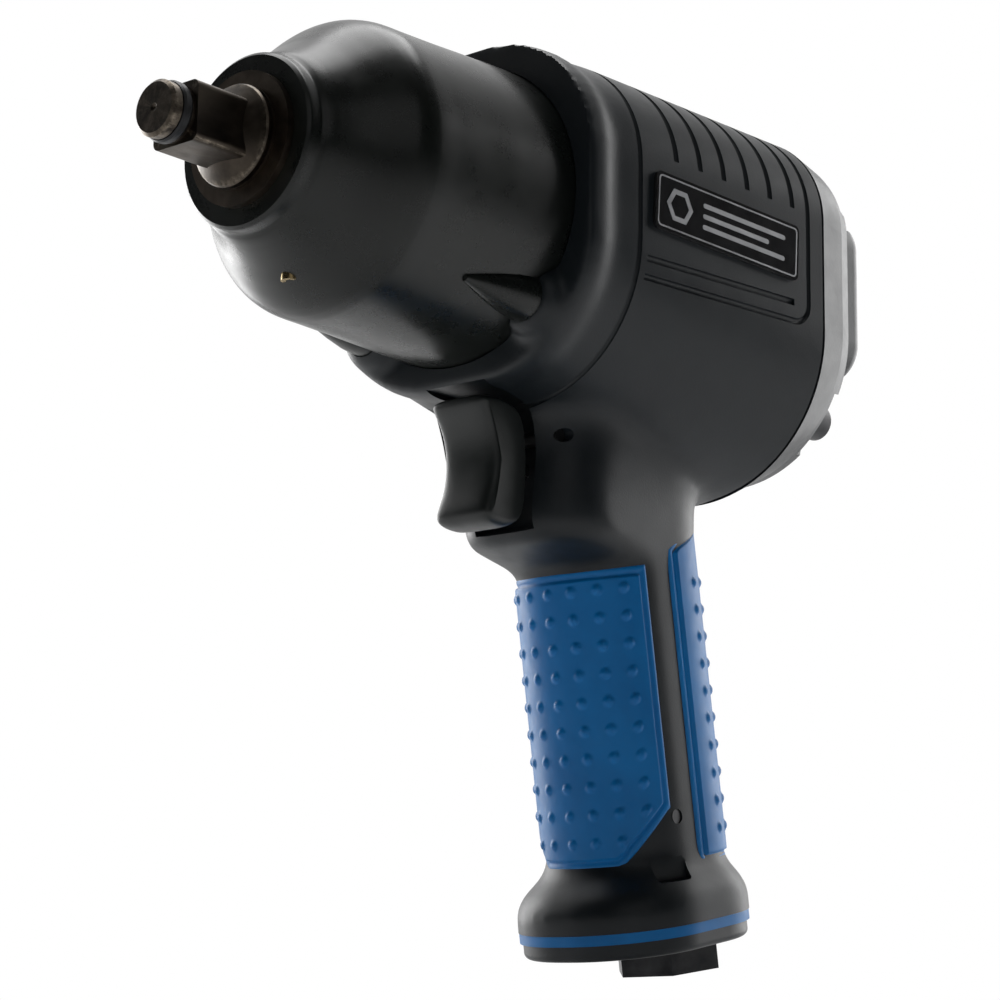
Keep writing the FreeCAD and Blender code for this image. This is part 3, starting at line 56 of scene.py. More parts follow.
# barrel stations: x, half width, top, bottom, lower corner radius, upper corner radius
BARREL = (
    (89.0, 37.2, 36.8, 37.0, 28.5, 28.5),
    (104.0, 39.6, 37.0, 41.0, 33.0, 28.0),
    (165.0, 46.5, 33.5, 54.0, 37.0, 24.0),
)
# handle stations: distance down its axis, reach to the front, reach to the back, half width, corner radius
HANDLE = (
    (-6.0, 27.0, 27.0, 17.0, 14.0),
    (20.0, 33.0, 31.0, 19.0, 15.0),
    (44.0, 32.4, 23.5, 19.0, 15.5),
    (62.0, 36.4, 22.1, 19.0, 16.0),
    (65.5, 35.0, 21.9, 18.9, 16.5),
    (68.5, 29.0, 21.6, 18.7, 17.0),
    (72.0, 22.4, 21.4, 18.3, 17.4),
    (75.5, 21.3, 21.3, 18.1, 17.6),
    (138.0, 21.3, 21.3, 18.1, 17.6),
    (141.5, 23.2, 21.6, 19.0, 18.1),
    (146.0, 28.2, 23.8, 22.2, 20.5),
    (149.3, 30.2, 25.1, 23.2, 21.5),
    (154.4, 30.4, 25.0, 23.2, 21.5),
)
# one more station past the base, where a cutter squares the handle off
HANDLE_TAIL = (159.0, 30.4, 25.0, 23.2, 21.5)
HANDLE_X = 130.5
RAKE = math.radians(10.0)
BASE_END = 153.3
LIP_X = 104.0
SEAM_X = 165.0
# hammer case: x and radius along its outside, its inside from the mouth's floor, and its mouth
CASE_PROFILE = (
    (24.4, 17.9), (25.1, 18.6), (27.6, 18.8), (28.6, 19.7), (31.0, 21.1), (33.0, 22.3), (36.0, 24.4),
    (39.0, 27.0), (42.0, 29.6), (44.0, 31.0), (46.0, 31.9), (48.5, 32.4), (54.0, 32.6), (62.0, 32.9),
    (72.0, 33.4), (88.0, 34.0), (96.5, 34.0),
)
BUSHING_R = 14.22
CASE_INSIDE = ((54.9, 28.4), (54.9, 16.2), (50.4, 16.2), (50.4, BUSHING_R), (24.4, BUSHING_R))
CASE_MOUTH = ((97.0, 33.6), (97.0, 28.4))
CASE_SIDES, BOLT_SIDES = 192, 48
# lower bolts: distance from the axis both ways, and x and radius of the case's ears and the housing's lobes
BOLT_OFFSET = 23.4
EAR_R, LOBE_R = 5.4, 9.0
EAR_PROFILE = ((66.0, 0.8), (70.0, 2.1), (75.0, 3.6), (80.0, 4.8), (84.0, EAR_R), (96.8, EAR_R))
LOBE_PROFILE = ((84.5, 5.8), (86.0, 7.4), (88.5, 8.5), (92.0, LOBE_R), (103.0, LOBE_R))
# housing: flare of its front lip, voxel of its remesh, and the zone where the handle melts into the barrel
LIP_FLARE = 1.1
HOUSING_VOXEL = 0.9
UNDER_START, UNDER_SLOPE = 41.0, 0.213
BLEND_DOWN, BLEND_REACH, BLEND_HALF, BLEND_FADE = 3.0, 13.0, 34.0, 6.0
# cut-outs of the housing: seat of the case, bore, flange, trigger recess, pin holes and low panel
SEAT_X, SEAT_R, BORE_R = 97.8, 34.25, 28.2
FLANGE_HALF, FLANGE_CORNER = 31.6, 17.0
RECESS_FRONT, RECESS_BACK, RECESS_TOP, RECESS_LOW, RECESS_HALF = 78.0, 112.4, -38.0, -69.6, 8.5
HEEL_R = 10.0
PIN_OUTER, PIN_INNER = 24, 12
TRIGGER_PIN_X, TRIGGER_PIN_UP, TRIGGER_PIN_R = 110.4, -47.5, 1.55
HANDLE_PIN_FORWARD, HANDLE_PIN_DOWN, HANDLE_PIN_R = -6.2, 130, 1.65
LOW_MARK_TURN, LOW_MARK_DOWN, LOW_MARK_CENTRE = 21.0, 141.3, -3.7
LOW_MARK_HALF, LOW_MARK_TALL, LOW_MARK_CORNER = 4.6, 2.6, 0.7
LOW_MARK_FLOOR, LOW_MARK_OUTSIDE = 17.9, 24.0
# grooves: radii of the tubes that cut them, and their places
LIP_LINE_X, LIP_LINE_R = 104.6, 0.7
SLOTS_X = tuple(116.1 + 7.7 * index for index in range(6))
SLOT_R, SLOT_LOW, SLOT_DROP, SLOT_TOP = 0.85, 11.6, 0.3, 22.0
SIDE_LINE_UP, SIDE_LINE_R = -12.5, 0.8
PANEL_LINE_UP, PANEL_LINE_BACK, PANEL_LINE_R = -16.9, 160.0, 0.75
PANEL_TURN_X, PANEL_TURN_UP, PANEL_TURN_R = 155.2, -12.1, 4.8


# ---- mesh helpers

def shade_smooth(obj, angle=None):
    for face in obj.data.polygons:
        face.use_smooth = True
    if angle is not None:
        obj.data.set_sharp_from_angle(angle=math.radians(angle))
    return obj


def make_object(name, points, faces):
    """A mesh object from points in millimetres."""
    mesh = bpy.data.meshes.new(name)
    mesh.from_pydata([Vector(point) * MM for point in points], [], faces)
    mesh.update()
    obj = bpy.data.objects.new(name, mesh)
    bpy.context.scene.collection.objects.link(obj)
    return obj


def stitch(rings, close_ends=True):
    """Faces between rings of points that all have the same count; ends are closed by fans."""
    count = len(rings[0])
    points = [point for ring in rings for point in ring]
    faces = []
    for row in range(len(rings) - 1):
        for step in range(count):
            after = (step + 1) % count
            faces.append((row * count + step, row * count + after,
                          (row + 1) * count + after, (row + 1) * count + step))
    if close_ends:
        faces.append(tuple(reversed(range(count))))
        faces.append(tuple((len(rings) - 1) * count + step for step in range(count)))
    return points, faces


def outward(obj):
    """Make every face look out of its own closed shell."""
    mesh = bmesh.new()
    mesh.from_mesh(obj.data)
    bmesh.ops.recalc_face_normals(mesh, faces=mesh.faces)
    mesh.to_mesh(obj.data)
    mesh.free()
    return obj


def turned_ring(x, radius, sides, across=0.0, up=0.0):
    """A circle of points square to X."""
    return [(x, across + radius * math.cos(turn), up + radius * math.sin(turn))
            for turn in (math.tau * step / sides for step in range(sides))]


def lower_pair(profile):
    """A turned shape of (x, radius) stations round each of the two lower bolts."""
    return [stitch([turned_ring(x, radius, BOLT_SIDES, side * BOLT_OFFSET, -BOLT_OFFSET)
                    for x, radius in profile]) for side in (-1, 1)]


def smooth_through(values, spacing):
    """Points along a smooth curve through tuples whose first entry rises."""
    table = np.array(values, float)
    along = table[:, 0]
    samples = np.unique(np.concatenate([np.arange(along[0], along[-1], spacing), along]))
    columns = [samples]
    for column in range(1, table.shape[1]):
        columns.append(monotone(along, table[:, column], samples))
    return np.stack(columns, axis=1)


def monotone(x, y, samples):
    """Piecewise cubic interpolation that doesn't overshoot."""
    step = np.diff(x)
    slope = np.diff(y) / step
    tangent = np.zeros(len(x))
    for i in range(1, len(x) - 1):
        if slope[i - 1] * slope[i] > 0:
            near, far = 2 * step[i] + step[i - 1], step[i] + 2 * step[i - 1]
            tangent[i] = (near + far) / (near / slope[i - 1] + far / slope[i])
    tangent[0], tangent[-1] = slope[0], slope[-1]
    place = np.clip(np.searchsorted(x, samples, side="right") - 1, 0, len(x) - 2)
    t = (samples - x[place]) / step[place]
    return ((2 * t ** 3 - 3 * t ** 2 + 1) * y[place] + (t ** 3 - 2 * t ** 2 + t) * step[place] * tangent[place]
            + (3 * t ** 2 - 2 * t ** 3) * y[place + 1] + (t ** 3 - t ** 2) * step[place] * tangent[place + 1])


def rounded_outline(left, right, low, high, low_corner, high_corner, arc_steps=14):
    """Points round a rectangle with rounded corners; their count depends only on arc_steps."""
    points = []
    for centre_x, centre_y, radius, start in (
            (right - high_corner, high - high_corner, high_corner, 0),
            (left + high_corner, high - high_corner, high_corner, 90),
            (left + low_corner, low + low_corner, low_corner, 180),
            (right - low_corner, low + low_corner, low_corner, 270)):
        for step in range(arc_steps + 1):
            turn = math.radians(start + 90 * step / arc_steps)
            points.append((centre_x + radius * math.cos(turn), centre_y + radius * math.sin(turn)))
    return points


def barrel_sizes(x):
    table = np.array(BARREL)
    first, last = (0, 1) if x < table[1, 0] else (1, 2)
    share = (x - table[first, 0]) / (table[last, 0] - table[first, 0])
    return table[first, 1:] + (table[last, 1:] - table[first, 1:]) * share


def barrel_ring(x, grown=0.0):
    half, top, bottom, low_corner, high_corner = barrel_sizes(x)
    flat = rounded_outline(-half - grown, half + grown, -bottom - grown, top + grown,
                           low_corner + grown, high_corner + grown)
    return [(x, across, up) for across, up in flat]


def on_barrel(x, bearing):
    """The barrel's surface point at x, in a direction given in degrees from +Y towards +Z."""
    ring = np.array(barrel_ring(x))[:, 1:]
    ray = np.array([math.cos(math.radians(bearing)), math.sin(math.radians(bearing))])
    for start, end in zip(ring, np.roll(ring, -1, axis=0)):
        edge = end - start
        cross = ray[0] * edge[1] - ray[1] * edge[0]
        if abs(cross) < 1e-9:
            continue
        reach = (start[0] * edge[1] - start[1] * edge[0]) / cross
        share = (start[0] * ray[1] - start[1] * ray[0]) / cross
        if reach > 0 and -1e-6 <= share <= 1 + 1e-6:
            return (x, reach * ray[0], reach * ray[1])
    raise ValueError("the ray misses the section")


def handle_point(forward, across, down):
    """A point in the handle's own frame; forward is negative towards the trigger."""
    return (HANDLE_X + down * math.sin(RAKE) + forward * math.cos(RAKE), across,
            -down * math.cos(RAKE) + forward * math.sin(RAKE))


def handle_ring(down, front, back, half, corner):
    flat = rounded_outline(-front, back, -half, half, corner, corner)
    return [handle_point(forward, across, down) for forward, across in flat]


def tube(path, radius, sides=10):
    """Points and faces of a closed round tube along a path of points in millimetres."""
    path = [Vector(point) for point in path]
    rings = []
    for index, point in enumerate(path):
        ahead = (path[min(index + 1, len(path) - 1)] - path[max(index - 1, 0)]).normalized()
        out = Vector((0, point.y, point.z))
        out = (out - ahead * out.dot(ahead)).normalized()
        side = ahead.cross(out)
        rings.append([point + (out * math.cos(turn) + side * math.sin(turn)) * radius
                      for turn in (math.tau * step / sides for step in range(sides))])
    return stitch(rings)


def joined(name, parts):
    """One object from several lists of points and faces."""
    points, faces = [], []
    for part_points, part_faces in parts:
        faces += [tuple(index + len(points) for index in face) for face in part_faces]
        points += list(part_points)
    return outward(make_object(name, points, faces))


def applied(obj):
    """Turn the object's modifiers into plain mesh."""
    depsgraph = bpy.context.evaluated_depsgraph_get()
    mesh = bpy.data.meshes.new_from_object(obj.evaluated_get(depsgraph))
    obj.modifiers.clear()
    obj.data = mesh
    return obj


def remeshed(obj, voxel):
    modifier = obj.modifiers.new("remesh", "REMESH")
    modifier.mode = "VOXEL"
    modifier.voxel_size = voxel * MM
    modifier.use_smooth_shade = True
    return applied(obj)


def relaxed(obj, rounds, weight):
    """Even out the surface; weight(points in mm) says how strongly each point follows its neighbours."""
    mesh = obj.data
    count = len(mesh.vertices)
    flat = np.empty(count * 3)
    mesh.vertices.foreach_get("co", flat)
    points = flat.reshape(-1, 3) / MM
    ends = np.empty(len(mesh.edges) * 2, int)
    mesh.edges.foreach_get("vertices", ends)
    first, last = ends.reshape(-1, 2).T
    neighbours = np.bincount(first, minlength=count) + np.bincount(last, minlength=count)
    share = weight(points)[:, None] * 0.5
    for _ in range(rounds):
        total = np.empty_like(points)
        for axis in range(3):
            total[:, axis] = (np.bincount(first, points[last, axis], count)
                              + np.bincount(last, points[first, axis], count))
        points += share * (total / neighbours[:, None] - points)
    mesh.vertices.foreach_set("co", (points * MM).ravel())
    mesh.update()
    return obj


def carved(obj, cutter):
    """Cut a closed shell out of another. A cut that fails is tried again from a hair's breadth away."""
    whole = obj.data.copy()
    for _ in range(4):
        modifier = obj.modifiers.new("carve", "BOOLEAN")
        modifier.operation = "DIFFERENCE"
        modifier.solver = "EXACT"
        modifier.object = cutter
        applied(obj)
        if len(obj.data.vertices) > len(whole.vertices) / 2:
            break
        obj.data = whole.copy()
        cutter.location += Vector((0.02, 0.01, 0.015)) * MM
        bpy.context.view_layer.update()
    bpy.data.objects.remove(cutter)
    return obj


def cylinder_between(start, end, radius, sides=64):
    """Points and faces of a closed cylinder between two points in millimetres."""
    start, end = Vector(start), Vector(end)
    along = (end - start).normalized()
    side = along.orthogonal().normalized()
    other = along.cross(side)
    rings = [[centre + (side * math.cos(turn) + other * math.sin(turn)) * radius
              for turn in (math.tau * step / sides for step in range(sides))] for centre in (start, end)]
    return stitch(rings)


def rounded_box_x(start, end, left, right, low, high, corner):
    """A block along X with rounded long edges."""
    flat = rounded_outline(left, right, low, high, corner, corner, 6)
    return stitch([[(x, across, up) for across, up in flat] for x in (start, end)])


# ---- materials

# pointiness at which an edge begins to show wear, and at which it is all worn
WEAR_EDGES = (0.53, 0.58)


def new_material(name):
    material = bpy.data.materials.new(name)
    material.use_nodes = True
    tree = material.node_tree
    tree.nodes.clear()
    shader = tree.nodes.new("ShaderNodeBsdfPrincipled")
    output = tree.nodes.new("ShaderNodeOutputMaterial")
    tree.links.new(shader.outputs["BSDF"], output.inputs["Surface"])
    return material, tree, shader


def stretched_place(tree, stretch):
    """Object coordinates, scaled so that a pattern can run along one axis."""
    place = tree.nodes.new("ShaderNodeTexCoord")
    mapping = tree.nodes.new("ShaderNodeMapping")
    mapping.inputs["Scale"].default_value = stretch
    tree.links.new(place.outputs["Object"], mapping.inputs["Vector"])
    return mapping.outputs["Vector"]


def noise(tree, place, size_mm, detail=4.0, roughness=0.55):
    made = tree.nodes.new("ShaderNodeTexNoise")
    made.inputs["Scale"].default_value = 1.0 / (size_mm * MM)
    made.inputs["Detail"].default_value = detail
    made.inputs["Roughness"].default_value = roughness
    tree.links.new(place, made.inputs["Vector"])
    return made.outputs["Fac"]


def colour_ramp(tree, value, stops):
    ramp = tree.nodes.new("ShaderNodeValToRGB")
    elements = ramp.color_ramp.elements
    while len(elements) < len(stops):
        elements.new(0.5)
    for element, (position, colour) in zip(elements, stops):
        element.position = position
        element.color = (*colour, 1.0)
    tree.links.new(value, ramp.inputs["Fac"])
    return ramp.outputs["Color"]


def remapped(tree, value, low, high, start=0.3, end=0.7):
    made = tree.nodes.new("ShaderNodeMapRange")
    for socket, number in (("From Min", start), ("From Max", end), ("To Min", low), ("To Max", high)):
        made.inputs[socket].default_value = number
    tree.links.new(value, made.inputs["Value"])
    return made.outputs["Result"]


def bumped(tree, height, strength, distance_mm, under=None):
    made = tree.nodes.new("ShaderNodeBump")
    made.inputs["Strength"].default_value = strength
    made.inputs["Distance"].default_value = distance_mm * MM
    tree.links.new(height, made.inputs["Height"])
    if under is not None:
        tree.links.new(under, made.inputs["Normal"])
    return made.outputs["Normal"]


def mixed(tree, share, first, second):
    made = tree.nodes.new("ShaderNodeMix")
    made.data_type = "RGBA"
    tree.links.new(share, made.inputs["Factor"])
    tree.links.new(first, made.inputs["A"])
    tree.links.new(second, made.inputs["B"])
    return made.outputs["Result"]


def edge_wear(tree, place, start, end, size_mm):
    """A mask of exposed edges, broken up by noise."""
    geometry = tree.nodes.new("ShaderNodeNewGeometry")
    edge = remapped(tree, geometry.outputs["Pointiness"], 0.0, 1.0, start, end)
    broken = remapped(tree, noise(tree, place, size_mm, 6.0, 0.7), 0.0, 1.0, 0.42, 0.62)
    product = tree.nodes.new("ShaderNodeMath")
    product.operation = "MULTIPLY"
    tree.links.new(edge, product.inputs[0])
    tree.links.new(broken, product.inputs[1])
    return product.outputs["Value"]


def finish_surface(name, dark, light, rough, cloud_mm=18.0, grain_mm=0.35, grain=0.25, depth_mm=0.05,
                   metallic=0.0, stretch=(1, 1, 1), coat=0.0, coat_rough=0.2, specular=0.5, worn=None):
    """A surface with cloudy colour, uneven gloss, fine grain and, if asked for, worn edges."""
    material, tree, shader = new_material(name)
    place = stretched_place(tree, stretch)
    clouds = noise(tree, place, cloud_mm, 5.0)
    grains = noise(tree, place, grain_mm, 3.0, 0.6)
    colour = colour_ramp(tree, clouds, ((0.3, dark), (0.7, light)))
    gloss = remapped(tree, noise(tree, place, cloud_mm * 0.35, 6.0, 0.65), rough[0], rough[1])
    if worn:
        mask = edge_wear(tree, place, *WEAR_EDGES, cloud_mm * 0.2)
        speckled = colour_ramp(tree, grains, ((0.35, worn), (0.65, tuple(0.8 * part for part in worn))))
        colour = mixed(tree, mask, colour, speckled)
    tree.links.new(colour, shader.inputs["Base Color"])
    tree.links.new(gloss, shader.inputs["Roughness"])
    wide = bumped(tree, noise(tree, place, cloud_mm * 0.5, 2.0), 0.12, 0.12)
    tree.links.new(bumped(tree, grains, grain, depth_mm, wide), shader.inputs["Normal"])
    shader.inputs["Metallic"].default_value = metallic
    shader.inputs["Specular IOR Level"].default_value = specular
    shader.inputs["Coat Weight"].default_value = coat
    shader.inputs["Coat Roughness"].default_value = coat_rough
    return material


def make_materials():
    """One material for each material slot named in the record."""
    return {
        "case_black": finish_surface("painted_case", (0.0035, 0.0048, 0.0045), (0.0070, 0.0088, 0.0075),
                                     (0.24, 0.34), 26.0, 0.5, 0.18, 0.03, specular=0.42),
        "housing_black": finish_surface("moulded_housing", (0.0050, 0.0075, 0.0100), (0.0085, 0.0120, 0.0150),
                                        (0.36, 0.46), 22.0, 0.42, 0.5, 0.05, specular=0.4),
        "cover_black": finish_surface("moulded_cover", (0.0065, 0.0085, 0.011), (0.011, 0.0135, 0.0165),
                                      (0.33, 0.43), 20.0, 0.42, 0.45, 0.05, specular=0.5),
        "grip_blue": finish_surface("blue_rubber", (0.0004, 0.135, 0.400), (0.0008, 0.170, 0.480), (0.38, 0.50),
                                    14.0, 0.3, 0.22, 0.03, specular=0.28),
        "trigger_black": finish_surface("trigger_plastic", (0.0075, 0.010, 0.010), (0.0115, 0.0145, 0.0140),
                                        (0.36, 0.48), 12.0, 0.35, 0.3, 0.04),
        "tool_steel": finish_surface("forged_steel", (0.040, 0.034, 0.029), (0.10, 0.082, 0.064), (0.28, 0.46), 7.0,
                                     0.25, 0.35, 0.03, metallic=1.0, stretch=(0.5, 1, 1),
                                     worn=(0.30, 0.255, 0.20)),
        "bright_steel": finish_surface("ground_steel", (0.42, 0.42, 0.43), (0.58, 0.58, 0.59), (0.18, 0.3), 6.0,
                                       0.3, 0.2, 0.02, metallic=1.0, stretch=(0.3, 1, 1)),
        "black_oxide": finish_surface("black_oxide", (0.022, 0.023, 0.025), (0.05, 0.05, 0.052), (0.3, 0.45), 6.0,
                                      0.3, 0.3, 0.03, metallic=0.8),
        "bronze": finish_surface("sintered_bronze", (0.075, 0.060, 0.047), (0.14, 0.112, 0.086), (0.3, 0.42), 5.0,
                                 0.3, 0.4, 0.03, metallic=1.0),
        "brass": finish_surface("brass", (0.42, 0.31, 0.15), (0.58, 0.45, 0.24), (0.2, 0.34), 3.0, 0.25, 0.3,
                                0.02, metallic=1.0),
        "light_alloy": finish_surface("light_alloy", (0.38, 0.39, 0.4), (0.5, 0.5, 0.52), (0.3, 0.45), 9.0, 0.35,
                                      0.35, 0.03, metallic=1.0),
        "vane_resin": finish_surface("vane_resin", (0.09, 0.05, 0.022), (0.15, 0.085, 0.04), (0.45, 0.6), 5.0,
                                     0.3, 0.3, 0.03, stretch=(0.2, 1, 1)),
        "seal_black": finish_surface("seal_rubber", (0.012, 0.012, 0.013), (0.022, 0.022, 0.023), (0.35, 0.5),
                                     5.0, 0.3, 0.3, 0.03),
        "gasket_grey": finish_surface("gasket_paper", (0.07, 0.072, 0.075), (0.12, 0.122, 0.125), (0.7, 0.85), 4.0,
                                      0.3, 0.6, 0.05),
        "felt": finish_surface("felt", (0.20, 0.19, 0.17), (0.30, 0.29, 0.26), (0.85, 0.95), 3.0, 0.25, 0.9, 0.15),
        "badge_black": finish_surface("badge_gloss", (0.010, 0.010, 0.011), (0.016, 0.016, 0.017), (0.12, 0.2),
                                      9.0, 0.5, 0.1, 0.02, coat=0.5, coat_rough=0.08),
    }


# ---- pieces

def make_case_skin():
    """The bell-nosed hammer case, turned, with a bore for the bushing and two lower bolt ears."""
    outside = [tuple(row) for row in smooth_through(CASE_PROFILE, 0.5)]
    rings = [turned_ring(x, radius, CASE_SIDES) for x, radius in (*CASE_INSIDE, *outside, *CASE_MOUTH)]
    rings.append(rings[0])
    shell = stitch(rings, close_ends=False)
    case = joined("hammer_case_skin", [shell] + lower_pair(EAR_PROFILE))
    mesh = bmesh.new()
    mesh.from_mesh(case.data)
    bmesh.ops.remove_doubles(mesh, verts=mesh.verts, dist=1e-6)
    mesh.to_mesh(case.data)
    mesh.free()
    return shade_smooth(outward(case), 38)


def housing_blank():
    """Motor barrel, handle and lower lobes melted into one smooth shape."""
    stations = (*np.arange(BARREL[0][0], LIP_X, 1.0), LIP_X,
                *np.arange(LIP_X + 3, SEAM_X, 3.0), SEAM_X, SEAM_X + 5)
    barrel = stitch([barrel_ring(x, LIP_FLARE * (1 - smooth_step(x, 92.5, 98.0))) for x in stations])
    handle = stitch([handle_ring(*row) for row in (*smooth_through(HANDLE, 1.5), HANDLE_TAIL)])
    parts = [barrel, handle] + lower_pair(LOBE_PROFILE)
    blank = remeshed(joined("motor_housing_skin", parts), HOUSING_VOXEL)

    def weight(points):
        """Strong where the handle runs into the barrel, nothing everywhere else."""
        x, across, up = points.T
        under = UNDER_START + (x - LIP_X) * UNDER_SLOPE
        close = np.clip(1.0 - np.abs(-up - under - BLEND_DOWN) / BLEND_REACH, 0, 1)
        near_handle = (np.clip((BLEND_HALF - np.abs(across)) / BLEND_FADE, 0, 1)
                       * np.clip((x - LIP_X) / BLEND_FADE, 0, 1))
        return np.clip(close * near_handle, 0, 1)

    def light_weight(points):
        """Nearly nothing on the upper half of the front lip, so that its edge stays."""
        return np.clip(np.maximum((points[:, 0] - 95.0) / 4.0, -points[:, 2] / 20.0), 0.1, 0.9)

    relaxed(blank, 90, weight)
    relaxed(blank, 8, light_weight)
    return blank


def surface_groove(stations, radius):
    return tube([on_barrel(x, bearing) for x, bearing in stations], radius)


def side_bearing(x, up, side):
    """The bearing of a point at height up on the flat side."""
    return math.degrees(math.atan2(up, side * barrel_sizes(x)[0]))


def trigger_recess():
    """The pocket behind the trigger, with a wide round heel at its lower rear corner."""
    side = [(RECESS_FRONT, RECESS_TOP), (RECESS_BACK, RECESS_TOP)]
    side += [(RECESS_BACK - HEEL_R + HEEL_R * math.cos(turn), HEEL_R + RECESS_LOW - HEEL_R * math.sin(turn))
             for turn in (math.radians(90 * step / 12) for step in range(13))]
    side.append((RECESS_FRONT, RECESS_LOW))
    return stitch([[(x, across, up) for x, up in side] for across in (-RECESS_HALF, RECESS_HALF)])


def low_mark_pocket():
    """A shallow recessed panel low on the left, square to the handle's rounded side."""
    turn = math.radians(LOW_MARK_TURN)
    out = (-math.sin(turn), -math.cos(turn))
    along = (math.cos(turn), -math.sin(turn))
    flat = rounded_outline(-LOW_MARK_HALF, LOW_MARK_HALF, LOW_MARK_DOWN - LOW_MARK_TALL,
                           LOW_MARK_DOWN + LOW_MARK_TALL, LOW_MARK_CORNER, LOW_MARK_CORNER, 4)
    return stitch([[handle_point(LOW_MARK_CENTRE + out[0] * depth + along[0] * a,
                                 out[1] * depth + along[1] * a, down) for a, down in flat]
                   for depth in (LOW_MARK_FLOOR, LOW_MARK_OUTSIDE)])


def housing_cutters():
    """Everything that is cut out of the housing blank."""
    cutters = [
        cylinder_between((80, 0, 0), (SEAT_X, 0, 0), SEAT_R, 128),
        cylinder_between((90, 0, 0), (175, 0, 0), BORE_R, 96),
        rounded_box_x(SEAT_X - 8, SEAT_X, -FLANGE_HALF, FLANGE_HALF, -FLANGE_HALF, FLANGE_HALF,
                      FLANGE_CORNER),
        trigger_recess(),
        rounded_box_x(SEAM_X, 182, -60, 60, -70, 60, 1.0),
    ]
    for side in (-1, 1):
        outer, inner = ((TRIGGER_PIN_X, side * across, TRIGGER_PIN_UP) for across in (PIN_OUTER, PIN_INNER))
        cutters.append(cylinder_between(outer, inner, TRIGGER_PIN_R, 24))
    for side in (-1, 1):
        cutters.append(cylinder_between((82, side * BOLT_OFFSET, -BOLT_OFFSET),
                                        (97.3, side * BOLT_OFFSET, -BOLT_OFFSET), EAR_R + 0.15, 40))
        outer, inner = (handle_point(HANDLE_PIN_FORWARD, side * across, HANDLE_PIN_DOWN)
                        for across in (PIN_OUTER, PIN_INNER))
        cutters.append(cylinder_between(outer, inner, HANDLE_PIN_R, 24))
    cutters.append(low_mark_pocket())
    flat = rounded_outline(-40, 40, -40, 40, 2, 2, 4)
    cutters.append(stitch([[handle_point(a, b, down) for a, b in flat] for down in (BASE_END, BASE_END + 12)]))
    return cutters


def groove_cutters():
    """The parting line, the vent slots and the panel lines, as tubes lying in the surface."""
    full_turn = [(LIP_LINE_X, 360.0 * step / 240 + 0.7) for step in range(240)]
    grooves = [surface_groove(full_turn + full_turn[:1], LIP_LINE_R)]
    for side in (-1, 1):
        for index, x in enumerate(SLOTS_X):
            low = side_bearing(x, SLOT_LOW - SLOT_DROP * index, side)
            turns = np.linspace(low % 360, 90 - side * SLOT_TOP, 40)
            grooves.append(surface_groove([(x, turn) for turn in turns], SLOT_R))
        line = [(x, side_bearing(x, SIDE_LINE_UP, side)) for x in np.arange(107.0, 155.5, 2.0)]
        grooves.append(surface_groove(line, SIDE_LINE_R))
    return grooves


def panel_loop():
    """One line along each side below the badge, round a corner and over the top near the rear."""
    stations = [(x, side_bearing(x, PANEL_LINE_UP, -1)) for x in np.arange(107.0, 155.0, 2.0)]
    for step in range(9):
        turn = math.radians(90 - 90 * step / 8)
        x, up = PANEL_TURN_X + PANEL_TURN_R * math.cos(turn), PANEL_TURN_UP - PANEL_TURN_R * math.sin(turn)
        stations.append((x, side_bearing(x, up, -1)))
    start = side_bearing(PANEL_LINE_BACK, -10.5, -1) % 360
    half = [(PANEL_LINE_BACK, turn) for turn in np.linspace(start, 90, 40)]
    stations = [(x, bearing % 360) for x, bearing in stations] + half
    mirrored = [(x, (180 - bearing) % 360) for x, bearing in stations[:-1]]
    return surface_groove(stations + mirrored[::-1], PANEL_LINE_R)


def make_housing_skin():
    housing = housing_blank()
    for cutter in housing_cutters():
        carved(housing, joined("cutter", [cutter]))
    carved(housing, joined("cutter", groove_cutters() + [panel_loop()]))
    return shade_smooth(housing, 40)


# ---- grips

GRIP_FRONT, GRIP_HALF, GRIP_CORNER = 22.2, 19.0, 18.5
PANEL_INSET, PANEL_STEP, PANEL_RAISE = 2.4, 0.5, 0.5
BUMP_R, BUMP_HEIGHT = 1.2, 0.6
BUMP_ROWS = tuple(77.8 + 6.25 * row for row in range(10))
BUMP_COLUMNS = tuple(6.1 * column for column in range(-4, 5))
BUMP_MARGIN = 1.6
GRIP_SPACING, GRIP_ROWS = 0.36, 190
RIM_R, RIM_DROP, GRIP_SUNK = 1.1, 1.6, 0.35
GROOVE_DEPTH, GROOVE_BEFORE, GROOVE_AFTER = 0.3, 0.9, 0.4


def half_path(edge, spacing):
    """Points and outward normals round one end of the grip, from one side edge to the other."""
    centre = GRIP_FRONT - GRIP_CORNER
    first = math.asin(max(edge - centre, 0.0) / GRIP_CORNER)
    straight = max(centre - edge, 0.0)
    arc = GRIP_CORNER * (math.pi / 2 - first)
    face = 2 * (GRIP_HALF - GRIP_CORNER)
    length = 2 * (straight + arc) + face
    path = []
    for place in np.linspace(0, length, int(length / spacing) + 1):
        side, reach = (-1, place) if place <= length / 2 else (1, length - place)
        if reach <= straight:
            path.append((edge + reach, side * GRIP_HALF, 0.0, side, place))
        elif reach <= straight + arc:
            turn = first + (reach - straight) / GRIP_CORNER
            path.append((centre + GRIP_CORNER * math.sin(turn),
                         side * (GRIP_HALF - GRIP_CORNER + GRIP_CORNER * math.cos(turn)),
                         math.sin(turn), side * math.cos(turn), place))
        else:
            path.append((GRIP_FRONT, side * (face / 2 - (reach - straight - arc)), 1.0, 0.0, place))
    return path, length


def smooth_step(value, start, end):
    share = min(max((value - start) / (end - start), 0.0), 1.0)
    return share * share * (3 - 2 * share)


